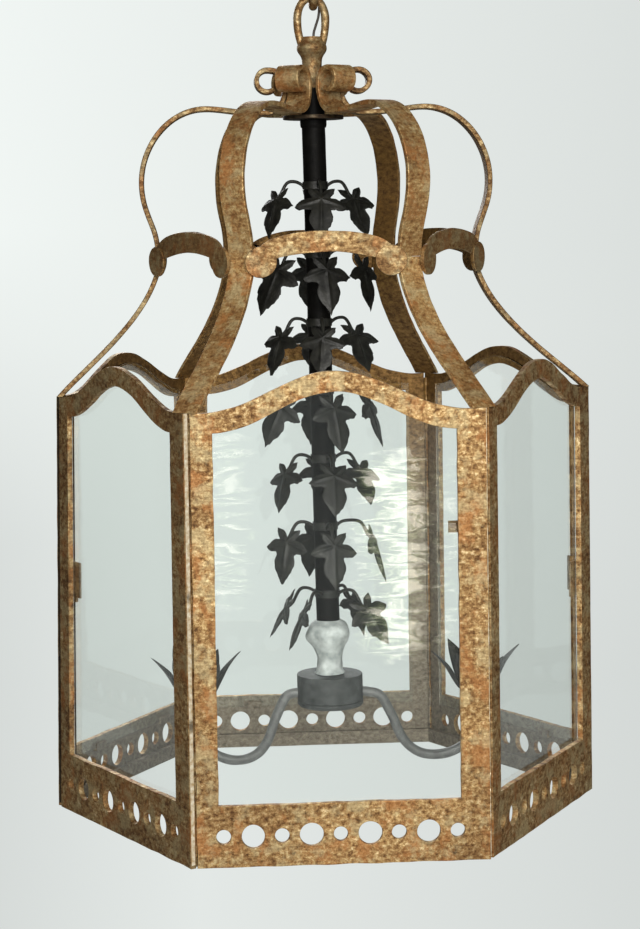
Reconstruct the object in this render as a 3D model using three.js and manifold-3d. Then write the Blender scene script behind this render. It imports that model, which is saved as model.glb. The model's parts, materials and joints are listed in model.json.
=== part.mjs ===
// Six-sided hanging lantern of gilded wrought iron and glass, with an ivy stem and two candle arms inside.
// Millimetres, +Z up. The origin is the middle of the ceiling plate's top face, so the lantern hangs below it.
import * as THREE from "three";
import { mergeVertices } from "three/addons/utils/BufferGeometryUtils.js";
import Module from "manifold-3d";

const wasm = await Module();
wasm.setup();

// Clearances
const SEAT_GAP = 0.3; // between pieces that rest on each other
const CORNER_GAP = 0.4; // between two panels at a welded corner

// Body: six flat plate frames round a hexagon
const SIDES = 6;
const CORNER_RADIUS = 280; // axis to an outside corner
const PLATE = 6; // thickness of a panel's plate
const BODY_HEIGHT = 423; // bottom edge to the shoulders of the arch
const SHOULDER = 19; // plate left above the window at its shoulders
const ARCH_RISE = 36.5; // height of the ogee arch above its shoulders
const STILE = 27; // outside corner to the window's upright edge
const RAIL = 58; // height of the bottom rail
const HOLE_PITCH = 27.3; // between a big hole and the small one beside it
const BIG_HOLE = 22; // diameter
const SMALL_HOLE = 13.6; // diameter
const HOLE_LEVEL = 28.6; // above the bottom edge
const RING_HEIGHT = 15; // inner band that ties the six panels together
const RING_WALL = 6;

// Glass and its holders
const GLASS = 3; // thickness of a pane
const GLASS_LAP = 2.5; // how far a pane lies behind the stiles
const GLASS_DROP = 12; // how far a pane hangs behind the bottom rail
const CLIP_SHEET = 2; // thickness of the metal of clips and pane rests
const REST_WIDTH = 20;
const REST_LIP = 6;
const CLIPS = {
  // middle above the bottom edge, height, and how far the clip covers the glass
  tall: { level: 226, height: 36, reach: 14 },
  small: { level: 300, height: 11, reach: 11 },
  hidden: { level: 226, height: 36, reach: 2.2 },
};

// Roof: six flat bars from the corners to the neck
const RIB_WIDTH = 26;
const RIB = 5; // thickness of the bars of roof and crown
const FOOT_INSET = 5; // corner to the middle of the roof rib where it stands on the panels
const ROOF_RISE = 127; // shoulders of the body to the neck
const NECK_RADIUS = 165.5; // outside of the bars at the neck
const NECK_HEIGHT = 32;
const NECK_JOINT = 12; // neck level to the joint between the two bars of a corner
const BAND_SHEET = 4; // thickness of the arched plates at the neck
const BAND_HEIGHT = 19.5;
const BAND_ARCH = 14; // drop of the arched plate from its middle to its ends
const LOBE_RADIUS = 15;
const LOBE_LAP = 6; // how far a round end covers the edge of a bar

// Crown: six bars that bulge, run in and roll up round the stem
const BULGE_RADIUS = 178; // middle of the bar where it is widest
const BULGE_RISE = 56; // neck to the widest place
const CROWN_RISE = 70; // widest place to the flat top
const HUMP = 5; // how far the bar rises above its flat top on the way in
const CROWN_PLATE_RADIUS = 50;
const CROWN_PLATE = 4;
const SCROLL_CENTRE = 46.5; // axis to the middle of a roll
const SCROLL_RADIUS = 11; // middle of the bar round the roll
const SCROLL_LIFT = 32.5; // flat top to the middle of the roll
const SCROLL_NECK = 28; // axis to the bar where it climbs beside the stem

// Stem and what it carries
const STEM_RADIUS = 12;
const STEM_BORE = 8.6; // radius
const STEM_END = 116; // lower end, above the bottom edge of the body
const STEM_REACH = 25; // how far the stem rises past the flat top of the crown
const RUN_GAP = 0.3; // round the stem in each piece threaded on it
const ARM_GAP = 0.6; // round an arm in the hub's wall
const TIERS = 7;
const TIER_LEVEL = 214; // lowest spray
const TIER_PITCH = 70;
const LEAF_WIDTH = 53;
const LEAF_LENGTH = 50;
const LEAF_SHEET = 1.6;
const TENDRIL = 3.4; // diameter of the wire that carries a leaf
const TENDRIL_REACH = 38; // axis to the leaf's stalk
const TENDRIL_RISE = 4;

// Hub, arms and candles
const VASE_HEIGHT = 56;
const HUB_RADIUS = 34;
const HUB_HEIGHT = 27;
const HUB_WALL = 3;
const HUB_TOP = 130;
const ARM_LEVEL = 110; // where the arms leave the hub
const ARM_DIAMETER = 10;
const ARM_BORE = 6; // diameter
const ARM_DIP = 42; // lowest level of an arm's middle
const ARM_REACH = { left: 137, right: 151 };
const CUP_LEVEL = 108; // underside of a leaf cup
const CUP_RADIUS = 45;
const CUP_HEIGHT = 46;
const PETALS = 6;
const SLEEVE_RADIUS = 13;
const SLEEVE_WALL = 1.6;
const SLEEVE_HEIGHT = 82;
const SOCKET_HEIGHT = 34;
const SOCKET_BORE = 8; // radius
const SOCKET_DEPTH = 24;

// Hanging loop, chain link and ceiling fitting
const LOOP_WIRE = 8.2; // diameter
const LOOP_HALF_WIDTH = 14.3; // middle of the wire
const LOOP_RISE = 21.9; // widest place to the top, middle of the wire
const KNOB_HEIGHT = 52;
const KNOB_RADIUS = 15.5;
const LINK_WIRE = 9; // diameter
const LINK_RADIUS = 11; // middle of the wire round each end
const LINK_STRAIGHT = 24;
const EYE_WIRE = 8; // diameter
const EYE_RADIUS = 11; // middle of the wire
const CANOPY_RADIUS = 52;
const CANOPY_HEIGHT = 21;
const CANOPY_WALL = 2;
const CEILING_PLATE = 3;
const CEILING_PLATE_RADIUS = 48;
const CORD_DIAMETER = 2.6;

// Levels above the bottom edge of the body
const faceDistance = CORNER_RADIUS * Math.cos(Math.PI / SIDES);
const faceHalf = CORNER_RADIUS * Math.sin(Math.PI / SIDES);
const innerFace = faceDistance - PLATE;
const windowHalf = faceHalf - STILE;
const neckLevel = BODY_HEIGHT + ROOF_RISE;
const neckTop = neckLevel + NECK_HEIGHT;
const bulgeLevel = neckTop + BULGE_RISE;
const stripLevel = bulgeLevel + CROWN_RISE;
const stemTop = stripLevel + STEM_REACH;
const knobTop = stemTop + KNOB_HEIGHT;
const loopWide = knobTop + 18;
const loopTop = loopWide + LOOP_RISE;
const linkLow = loopTop - LOOP_WIRE / 2 - SEAT_GAP - LINK_WIRE / 2;
const linkHigh = linkLow + 2 * LINK_RADIUS + LINK_STRAIGHT;
const eyeLow = linkHigh - LINK_WIRE / 2 - SEAT_GAP - EYE_WIRE / 2;
const eyeTop = eyeLow + 2 * EYE_RADIUS + EYE_WIRE / 2;
const canopyLow = eyeTop + 2.5;
const ceilingLow = canopyLow + CANOPY_HEIGHT;
const ceilingTop = ceilingLow + CEILING_PLATE;

const gilt = { color: 0x9a7440, roughness: 0.55, metalness: 0.75 };
const blackIron = { color: 0x1d1c19, roughness: 0.6, metalness: 0.6 };
const greyIron = { color: 0x55565a, roughness: 0.5, metalness: 0.7 };
const clearGlass = { color: 0xd5e0da, roughness: 0.05, metalness: 0, transparent: true, opacity: 0.3 };
const sleeveIvory = { color: 0xe8e0cc, roughness: 0.6, metalness: 0 };
const socketDark = { color: 0x26231f, roughness: 0.5, metalness: 0.2 };
const cordBrown = { color: 0x4a3f33, roughness: 0.7, metalness: 0 };

const lantern = new THREE.Group();
lantern.position.z = -ceilingTop;

function add(name, geometry, finish, turn = 0) {
  const mesh = new THREE.Mesh(geometry, new THREE.MeshStandardMaterial(finish));
  mesh.name = name;
  mesh.rotation.z = turn;
  lantern.add(mesh);
  return mesh;
}

// Closed mesh to solid and back
function solid(geometry) {
  const bare = geometry.clone();
  bare.deleteAttribute("normal");
  bare.deleteAttribute("uv");
  const merged = mergeVertices(bare, 1e-4);
  const mesh = new wasm.Mesh({
    numProp: 3,
    vertProperties: new Float32Array(merged.attributes.position.array),
    triVerts: new Uint32Array(merged.index.array),
  });
  mesh.merge();
  return new wasm.Manifold(mesh);
}

function geometryOf(body) {
  const mesh = body.getMesh();
  const geometry = new THREE.BufferGeometry();
  geometry.setAttribute("position", new THREE.BufferAttribute(new Float32Array(mesh.vertProperties), 3));
  geometry.setIndex(new THREE.BufferAttribute(new Uint32Array(mesh.triVerts), 1));
  geometry.computeVertexNormals();
  return geometry;
}

function join(...geometries) {
  return geometryOf(geometries.map(solid).reduce((whole, piece) => whole.add(piece)));
}

function cut(geometry, ...tools) {
  return geometryOf(tools.map(solid).reduce((whole, tool) => whole.subtract(tool), solid(geometry)));
}

// Turns the faces of a closed mesh outwards
function outward(geometry) {
  const flat = geometry.index ? geometry.toNonIndexed() : geometry;
  const p = flat.attributes.position;
  const [a, b, c] = [new THREE.Vector3(), new THREE.Vector3(), new THREE.Vector3()];
  let volume = 0;
  for (let i = 0; i < p.count; i += 3) {
    a.fromBufferAttribute(p, i);
    b.fromBufferAttribute(p, i + 1);
    c.fromBufferAttribute(p, i + 2);
    volume += a.dot(b.cross(c));
  }
  if (volume < 0) {
    for (let i = 0; i < p.count; i += 3) {
      a.fromBufferAttribute(p, i + 1);
      b.fromBufferAttribute(p, i + 2);
      p.setXYZ(i + 1, b.x, b.y, b.z);
      p.setXYZ(i + 2, a.x, a.y, a.z);
    }
  }
  return flat;
}

// Round piece about Z from a closed profile of [radius, level]
function turned(profile, segments = 24) {
  const points = [...profile, profile[0]].map(([r, z]) => new THREE.Vector2(r, z));
  return outward(new THREE.LatheGeometry(points, segments).rotateX(Math.PI / 2));
}

function rod(radius, length, segments = 16) {
  return new THREE.CylinderGeometry(radius, radius, length, segments).rotateX(Math.PI / 2);
}

function polygon(radius, sides) {
  return Array.from({ length: sides }, (_, i) => {
    const a = (i * 2 * Math.PI) / sides;
    return new THREE.Vector2(radius * Math.cos(a), radius * Math.sin(a));
  });
}

// Round or hollow bar along a curve
function tube(curve, radius, sides, steps, bore = 0) {
  const section = new THREE.Shape(polygon(radius, sides));
  if (bore > 0) {
    section.holes.push(new THREE.Path(polygon(bore, Math.ceil(sides / 2) + 2).reverse()));
  }
  return new THREE.ExtrudeGeometry(section, { extrudePath: curve, steps });
}

// Flat sheet from an outline in X and Z, its outer face towards -Y at the given distance
function sheet(shape, thickness, distance) {
  return new THREE.ExtrudeGeometry(shape, { depth: thickness, bevelEnabled: false })
    .rotateX(Math.PI / 2)
    .translate(0, thickness - distance, 0);
}

// Flat bar bent along a line of [radius, level], upright in the plane of a corner
function bentBar(line, thickness, width) {
  const sides = [1, -1].map((side) =>
    line.map((point, i) => {
      const before = line[Math.max(i - 1, 0)];
      const after = line[Math.min(i + 1, line.length - 1)];
      const along = after.clone().sub(before).normalize();
      const normal = new THREE.Vector2(-along.y, along.x);
      return point.clone().addScaledVector(normal, (side * thickness) / 2);
    }),
  );
  const shape = new THREE.Shape([...sides[0], ...sides[1].reverse()]);
  return new THREE.ExtrudeGeometry(shape, { depth: width, bevelEnabled: false })
    .rotateX(Math.PI / 2)
    .translate(0, width / 2, 0);
}

// Points on a chain of curves, without doubles where they meet
function pointsOn(curves, counts) {
  return curves.flatMap((curve, i) => curve.getPoints(counts[i]).slice(i === 0 ? 0 : 1));
}

const v2 = (x, y) => new THREE.Vector2(x, y);
const v3 = (x, y, z) => new THREE.Vector3(x, y, z);
const bell = (u, half) => 0.5 * (1 + Math.cos((Math.PI * Math.min(Math.abs(u), half)) / half));

// Arched edge from right to left: flat shoulders and an ogee between them
function archEdge(half, reach, level, steps) {
  return Array.from({ length: steps + 1 }, (_, i) => {
    const u = half - (2 * half * i) / steps;
    return v2(u, level + ARCH_RISE * bell(u, reach));
  });
}

const faceNames = ["front", "front_right", "back_right", "back", "back_left", "front_left"];
const cornerNames = ["front_right", "right", "back_right", "back_left", "left", "front_left"];
const faceTurn = (k) => (k * 2 * Math.PI) / SIDES;
const cornerTurn = (k) => ((k - 1) * 2 * Math.PI) / SIDES;

// Panels
const paneHalf = windowHalf + GLASS_LAP;
const paneOuter = innerFace - SEAT_GAP;
const paneInner = paneOuter - GLASS;
const panelLeft = -faceHalf + PLATE * Math.sin(Math.PI / 3) + CORNER_GAP;

function clip(side, { level, height, reach }) {
  const arm = side * (paneHalf + SEAT_GAP + CLIP_SHEET);
  const inner = arm - side * CLIP_SHEET;
  const tip = side * (paneHalf - reach);
  const back = -(paneInner - SEAT_GAP);
  const outline = [
    v2(arm, -innerFace - 1),
    v2(inner, -innerFace - 1),
    v2(inner, back),
    v2(tip, back),
    v2(tip, back + CLIP_SHEET),
    v2(arm, back + CLIP_SHEET),
  ];
  const bracket = new THREE.ExtrudeGeometry(new THREE.Shape(outline), { depth: height, bevelEnabled: false });
  return outward(bracket.translate(0, 0, level - height / 2));
}

// Hook under a pane: a foot that the glass stands on and a lip behind it
function paneRest(u) {
  const foot = RAIL - GLASS_DROP - SEAT_GAP;
  const back = paneInner - SEAT_GAP - CLIP_SHEET;
  const outline = [
    v2(innerFace + 1, foot),
    v2(innerFace + 1, foot - CLIP_SHEET),
    v2(back, foot - CLIP_SHEET),
    v2(back, foot + REST_LIP),
    v2(back + CLIP_SHEET, foot + REST_LIP),
    v2(back + CLIP_SHEET, foot),
  ];
  const hook = new THREE.ExtrudeGeometry(new THREE.Shape(outline), { depth: REST_WIDTH, bevelEnabled: false });
  hook.rotateX(Math.PI / 2).translate(0, REST_WIDTH / 2, 0).rotateZ(-Math.PI / 2);
  return outward(hook.translate(u, 0, 0));
}

function panelFrame(leftClip, rightClip) {
  const arch = archEdge(windowHalf + STILE / 3, windowHalf + 9, BODY_HEIGHT, 12);
  const plate = new THREE.Shape([
    v2(panelLeft, 0),
    v2(faceHalf, 0),
    v2(faceHalf, BODY_HEIGHT),
    ...arch,
    v2(panelLeft, BODY_HEIGHT),
  ]);
  const light = archEdge(windowHalf, windowHalf, BODY_HEIGHT - SHOULDER, 12);
  plate.holes.push(new THREE.Path([v2(windowHalf, RAIL), ...light, v2(-windowHalf, RAIL)].reverse()));
  const holesEachSide = Math.floor((windowHalf + HOLE_PITCH / 8) / HOLE_PITCH);
  for (let i = -holesEachSide; i <= holesEachSide; i++) {
    const outline = i % 2 === 0 ? polygon(SMALL_HOLE / 2, 6) : polygon(BIG_HOLE / 2, 8);
    outline.forEach((point) => point.add(v2(i * HOLE_PITCH, HOLE_LEVEL)));
    plate.holes.push(new THREE.Path(outline.reverse()));
  }
  const rests = [-0.6, 0.6].map((share) => paneRest(share * windowHalf));
  return join(sheet(plate, PLATE, faceDistance), clip(-1, leftClip), clip(1, rightClip), ...rests);
}

function pane() {
  const top = BODY_HEIGHT - SHOULDER + 8;
  const arch = archEdge(paneHalf, windowHalf + 5, top, 12);
  const foot = RAIL - GLASS_DROP;
  return sheet(new THREE.Shape([v2(-paneHalf, foot), v2(paneHalf, foot), ...arch]), GLASS, paneOuter);
}

// Left and right clip of each panel, seen from outside
const clipsOf = { front: ["hidden", "small"], front_right: ["hidden", "tall"], front_left: ["tall", "hidden"] };
const glass = pane();
faceNames.forEach((name, k) => {
  const [left, right] = (clipsOf[name] ?? ["hidden", "hidden"]).map((kind) => CLIPS[kind]);
  add(`panel_frame_${name}`, panelFrame(left, right), gilt, faceTurn(k));
  add(`glass_pane_${name}`, glass.clone(), clearGlass, faceTurn(k));
});

// Hexagonal band inside the foot of the body
function hexagon(distance) {
  const radius = distance / Math.cos(Math.PI / SIDES);
  return Array.from({ length: SIDES }, (_, k) =>
    v2(radius * Math.cos(cornerTurn(k)), radius * Math.sin(cornerTurn(k))),
  );
}
const ringOutline = new THREE.Shape(hexagon(innerFace - SEAT_GAP));
ringOutline.holes.push(new THREE.Path(hexagon(innerFace - SEAT_GAP - RING_WALL).reverse()));
add("base_ring", new THREE.ExtrudeGeometry(ringOutline, { depth: RING_HEIGHT, bevelEnabled: false }), gilt);

// Roof ribs: foot on the shoulders at the corner, an inward sweep, and an upright end at the neck
const footAt = CORNER_RADIUS - FOOT_INSET;
const neckAt = NECK_RADIUS - RIB / 2;
const jointLevel = neckLevel + NECK_JOINT;

function roofRib() {
  const reach = footAt - neckAt;
  const sweep = new THREE.CubicBezierCurve(
    v2(footAt, BODY_HEIGHT),
    v2(footAt - 0.29 * reach, BODY_HEIGHT + 0.24 * ROOF_RISE),
    v2(neckAt + 0.14 * reach, neckLevel - 0.43 * ROOF_RISE),
    v2(neckAt, neckLevel - 1),
  );
  const tail = sweep.getTangent(0).multiplyScalar(-2 * RIB).add(v2(footAt, BODY_HEIGHT));
  const bar = bentBar([tail, ...sweep.getPoints(10), v2(neckAt, jointLevel)], RIB, RIB_WIDTH);
  const below = new THREE.BoxGeometry(8 * RIB, 2 * RIB_WIDTH, 4 * RIB)
    .translate(footAt, 0, BODY_HEIGHT + SEAT_GAP - 2 * RIB);
  return cut(bar, below);
}

// Crown ribs: a foot on the roof rib's end, the bulge, the flat top and the roll
function crownRib() {
  const flatEnd = SCROLL_CENTRE + 3;
  const rollLevel = stripLevel + SCROLL_LIFT;
  const curves = [
    new THREE.CubicBezierCurve(
      v2(neckAt, neckTop - 7),
      v2(neckAt + 2, neckTop + 0.25 * BULGE_RISE),
      v2(BULGE_RADIUS, bulgeLevel - 0.5 * BULGE_RISE),
      v2(BULGE_RADIUS, bulgeLevel),
    ),
    new THREE.CubicBezierCurve(
      v2(BULGE_RADIUS, bulgeLevel),
      v2(BULGE_RADIUS, bulgeLevel + 0.54 * CROWN_RISE),
      v2(0.84 * BULGE_RADIUS, stripLevel + HUMP),
      v2(0.63 * BULGE_RADIUS, stripLevel + HUMP),
    ),
    new THREE.CubicBezierCurve(
      v2(0.63 * BULGE_RADIUS, stripLevel + HUMP),
      v2(0.53 * BULGE_RADIUS, stripLevel + HUMP),
      v2(0.46 * BULGE_RADIUS, stripLevel),
      v2(flatEnd, stripLevel),
    ),
    new THREE.CubicBezierCurve(
      v2(flatEnd, stripLevel),
      v2(SCROLL_NECK + 9, stripLevel),
      v2(SCROLL_NECK, stripLevel + 0.32 * SCROLL_LIFT),
      v2(SCROLL_NECK, rollLevel - 5),
    ),
    new THREE.CubicBezierCurve(
      v2(SCROLL_NECK, rollLevel - 5),
      v2(SCROLL_NECK, rollLevel + 7),
      v2(SCROLL_CENTRE - 10, rollLevel + SCROLL_RADIUS),
      v2(SCROLL_CENTRE, rollLevel + SCROLL_RADIUS),
    ),
    new THREE.EllipseCurve(
      SCROLL_CENTRE, rollLevel, SCROLL_RADIUS, SCROLL_RADIUS, Math.PI / 2, -0.7 * Math.PI, true,
    ),
  ];
  const line = [v2(neckAt, jointLevel + SEAT_GAP), ...pointsOn(curves, [3, 6, 3, 4, 2, 9])];
  return clampToSector(bentBar(line, RIB, RIB_WIDTH));
}

// Keeps a corner's bar inside its sixth of the circle, clear of the next one
function clampToSector(geometry) {
  const p = geometry.attributes.position;
  for (let i = 0; i < p.count; i++) {
    const room = p.getX(i) * Math.tan(Math.PI / SIDES) - SEAT_GAP;
    const y = p.getY(i);
    p.setY(i, Math.sign(y) * Math.min(Math.abs(y), room));
  }
  return geometry;
}

const roof = roofRib();
const crown = crownRib();
cornerNames.forEach((name, k) => {
  add(`roof_rib_${name}`, roof.clone(), gilt, cornerTurn(k));
  add(`crown_rib_${name}`, crown.clone(), gilt, cornerTurn(k));
});

// Arched plates across the neck, their round ends over the edges of two ribs
function neckPlate() {
  const ribEdge = NECK_RADIUS * Math.cos(Math.PI / SIDES) + (RIB_WIDTH / 2) * Math.sin(Math.PI / SIDES);
  const ribEdgeAlong = NECK_RADIUS * Math.sin(Math.PI / SIDES) - (RIB_WIDTH / 2) * Math.cos(Math.PI / SIDES);
  const lobeAt = ribEdgeAlong - LOBE_RADIUS + LOBE_LAP;
  const distance = ribEdge + SEAT_GAP + BAND_SHEET;
  const crest = neckTop + 6;
  const band = [];
  const steps = 6;
  for (let i = 0; i <= steps; i++) {
    const share = 1 - (2 * i) / steps;
    band.push(v2(share * lobeAt, crest - BAND_ARCH * share ** 2 * (0.65 + 0.35 * share ** 6)));
  }
  for (let i = 0; i <= steps; i++) {
    const share = 0.94 * ((2 * i) / steps - 1);
    band.push(v2(share * lobeAt, crest - BAND_HEIGHT - 0.75 * BAND_ARCH * share ** 2));
  }
  const lobes = [-1, 1].map((side) => {
    const disc = polygon(LOBE_RADIUS, 10).map((point) => point.add(v2(side * lobeAt, neckLevel + 9)));
    return sheet(new THREE.Shape(disc), BAND_SHEET, distance);
  });
  return join(sheet(new THREE.Shape(band), BAND_SHEET, distance), ...lobes);
}
const neck = neckPlate();
faceNames.forEach((name, k) => add(`neck_plate_${name}`, neck.clone(), gilt, faceTurn(k)));

// Stem, and the plate and collar that hang the crown on it
const stemHole = STEM_RADIUS + RUN_GAP;
const plateTop = stripLevel - RIB / 2 - SEAT_GAP;
add(
  "stem",
  turned([[STEM_BORE, STEM_END], [STEM_RADIUS, STEM_END], [STEM_RADIUS, stemTop], [STEM_BORE, stemTop]], 16),
  blackIron,
);
add(
  "crown_plate",
  turned([[stemHole + 0.1, plateTop - CROWN_PLATE], [CROWN_PLATE_RADIUS, plateTop - CROWN_PLATE],
    [CROWN_PLATE_RADIUS, plateTop], [stemHole + 0.1, plateTop]], 20),
  gilt,
);
const collarTop = plateTop - CROWN_PLATE - SEAT_GAP;
add(
  "stem_collar",
  turned([[stemHole, collarTop - 8], [STEM_RADIUS + 1.5, collarTop - 8], [STEM_RADIUS + 3, collarTop - 5],
    [STEM_RADIUS + 3, collarTop], [stemHole, collarTop]], 16),
  blackIron,
);

// Knob and hanging loop, one casting with a way for the supply cord
function lanternLoop() {
  const seat = stemTop + SEAT_GAP;
  const waist = STEM_RADIUS - 1.5;
  const knob = turned([
    [CORD_DIAMETER / 2 + 0.9, stemTop - 17],
    [STEM_BORE - SEAT_GAP, stemTop - 17],
    [STEM_BORE - SEAT_GAP, seat],
    [waist, seat],
    [waist, seat + 24],
    [KNOB_RADIUS - 0.5, seat + 36],
    [KNOB_RADIUS, seat + 39],
    [KNOB_RADIUS - 2.5, seat + 46],
    [KNOB_RADIUS - 3.5, knobTop],
    [CORD_DIAMETER / 2 + 0.9, knobTop],
  ], 12);
  const points = [];
  const foot = loopWide - knobTop + 7;
  for (let i = -9; i <= 9; i++) {
    const angle = Math.PI / 2 - (i / 9) * (Math.PI / 2 + 0.74);
    const drop = Math.sin(angle) < 0 ? foot / Math.sin(0.74) : LOOP_RISE;
    points.push(v3(LOOP_HALF_WIDTH * Math.cos(angle), 0, loopWide + drop * Math.sin(angle)));
  }
  return join(knob, tube(new THREE.CatmullRomCurve3(points), LOOP_WIRE / 2, 6, 16));
}
add("lantern_loop", lanternLoop(), gilt);

// Hanging ivy leaf with five lobes: shares of half its width and of its length below the stalk
const LEAF_EDGE = [[0, 0.02], [0.42, -0.1], [0.4, 0.11], [1, 0.27], [0.5, 0.45], [0.42, 0.72], [0, 1]];

function leaf() {
  const right = LEAF_EDGE.map(([across, down]) => v2((across * LEAF_WIDTH) / 2, -down * LEAF_LENGTH));
  const left = right.slice(1, -1).reverse().map((point) => v2(-point.x, point.y));
  const top = [...right, ...left].map((point) => v3(point.x, point.y, 1 - 0.006 * point.x ** 2));
  const under = top.map((point) => point.clone().add(v3(0, 0, -LEAF_SHEET)));
  const heart = v3(0, -0.3 * LEAF_LENGTH, 2.2);
  const hollow = heart.clone().add(v3(0, 0, -LEAF_SHEET));
  const positions = [];
  const push = (...corners) => corners.forEach((c) => positions.push(c.x, c.y, c.z));
  top.forEach((here, i) => {
    const next = (i + 1) % top.length;
    push(heart, top[next], here);
    push(hollow, under[i], under[next]);
    push(here, top[next], under[next]);
    push(here, under[next], under[i]);
  });
  const geometry = new THREE.BufferGeometry();
  geometry.setAttribute("position", new THREE.Float32BufferAttribute(positions, 3));
  return outward(geometry);
}

// One spray: a collar on the stem and four tendrils, each with a hanging leaf
function spray(tier) {
  const level = TIER_LEVEL + tier * TIER_PITCH;
  const sides = 8;
  const bore = stemHole / Math.cos(Math.PI / sides);
  const rim = bore + 1.8;
  const collar = turned([[bore, level - 4], [rim, level - 4], [rim, level + 4], [bore, level + 4]], sides);
  const pieces = [collar];
  for (let k = 0; k < 4; k++) {
    const turn = (k * Math.PI) / 2 + (tier % 2) * (Math.PI / 4) - Math.PI / 2;
    const sway = ((k + tier) % 3) - 1;
    const wire = new THREE.CatmullRomCurve3([
      v3(stemHole + 0.8, 0, level),
      v3(stemHole + 9, sway, level + TENDRIL_RISE),
      v3(TENDRIL_REACH - 8, 2 * sway, level + TENDRIL_RISE - 2),
      v3(TENDRIL_REACH, 3 * sway, level - 12),
    ]);
    const tendril = tube(wire, TENDRIL / 2, 3, 4).rotateZ(turn);
    const blade = leaf()
      .rotateX(Math.PI / 2 - 0.16)
      .rotateZ(Math.PI / 2 + sway * 0.4)
      .translate(TENDRIL_REACH, 3 * sway, level - 10)
      .rotateZ(turn);
    pieces.push(tendril, blade);
  }
  return join(...pieces);
}
for (let tier = 0; tier < TIERS; tier++) {
  add(`leaf_spray_${TIERS - tier}`, spray(tier), blackIron);
}

// Turned cup on the stem above the hub
const cupFoot = HUB_TOP + SEAT_GAP;
add(
  "stem_cup",
  turned([
    [stemHole, cupFoot],
    [STEM_RADIUS + 4, cupFoot],
    [STEM_RADIUS + 1.5, cupFoot + 0.07 * VASE_HEIGHT],
    [STEM_RADIUS + 1.5, cupFoot + 0.32 * VASE_HEIGHT],
    [STEM_RADIUS + 5, cupFoot + 0.5 * VASE_HEIGHT],
    [STEM_RADIUS + 10.5, cupFoot + 0.64 * VASE_HEIGHT],
    [STEM_RADIUS + 11.5, cupFoot + 0.77 * VASE_HEIGHT],
    [STEM_RADIUS + 9, cupFoot + 0.89 * VASE_HEIGHT],
    [STEM_RADIUS + 3, cupFoot + 0.98 * VASE_HEIGHT],
    [stemHole, cupFoot + VASE_HEIGHT],
  ], 16),
  greyIron,
);

// Hub: a cap on the stem with a hole for each arm, closed from below, and the nut that holds it
const hubFoot = HUB_TOP - HUB_HEIGHT;
const hubInside = HUB_RADIUS - HUB_WALL;
const hubCap = turned([
  [stemHole, HUB_TOP - 4], [hubInside, HUB_TOP - 4], [hubInside, hubFoot], [HUB_RADIUS, hubFoot],
  [HUB_RADIUS, HUB_TOP], [stemHole, HUB_TOP],
], 20);
const armHoles = [-1, 1].map((side) =>
  rod(ARM_DIAMETER / 2 + ARM_GAP, 20, 10).rotateY(Math.PI / 2).translate(side * HUB_RADIUS, 0, ARM_LEVEL),
);
add("hub", cut(hubCap, ...armHoles), greyIron);
add(
  "hub_cover",
  turned([
    [0, hubFoot - 6], [HUB_RADIUS - 2, hubFoot - 6], [HUB_RADIUS, hubFoot - 4],
    [HUB_RADIUS, hubFoot - SEAT_GAP], [0, hubFoot - SEAT_GAP],
  ], 20),
  greyIron,
);
const nutTop = HUB_TOP - 4 - SEAT_GAP;
const nutBlank = rod(STEM_RADIUS + 7, 8, 6).translate(0, 0, nutTop - 4);
add("stem_nut", cut(nutBlank, rod(stemHole, 20, 20).translate(0, 0, nutTop - 4)), blackIron);

// Arms, leaf cups, candle sleeves and lampholders
const cupTopOfDisc = CUP_LEVEL + 3;
const armEnd = cupTopOfDisc + 7;

function arm(reach) {
  const curve = new THREE.CatmullRomCurve3([
    v3(hubInside - 3, 0, ARM_LEVEL),
    v3(HUB_RADIUS + 4, 0, ARM_LEVEL),
    v3(0.37 * reach, 0, ARM_LEVEL - 7),
    v3(0.46 * reach, 0, 0.63 * ARM_LEVEL + 0.37 * ARM_DIP),
    v3(0.56 * reach, 0, 0.22 * ARM_LEVEL + 0.78 * ARM_DIP),
    v3(0.73 * reach, 0, ARM_DIP),
    v3(0.9 * reach, 0, ARM_DIP + 7),
    v3(0.985 * reach, 0, 0.35 * CUP_LEVEL + 0.65 * ARM_DIP),
    v3(reach, 0, CUP_LEVEL - 12),
    v3(reach, 0, armEnd),
  ]);
  return tube(curve, ARM_DIAMETER / 2, 6, 14, ARM_BORE / 2);
}

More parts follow.
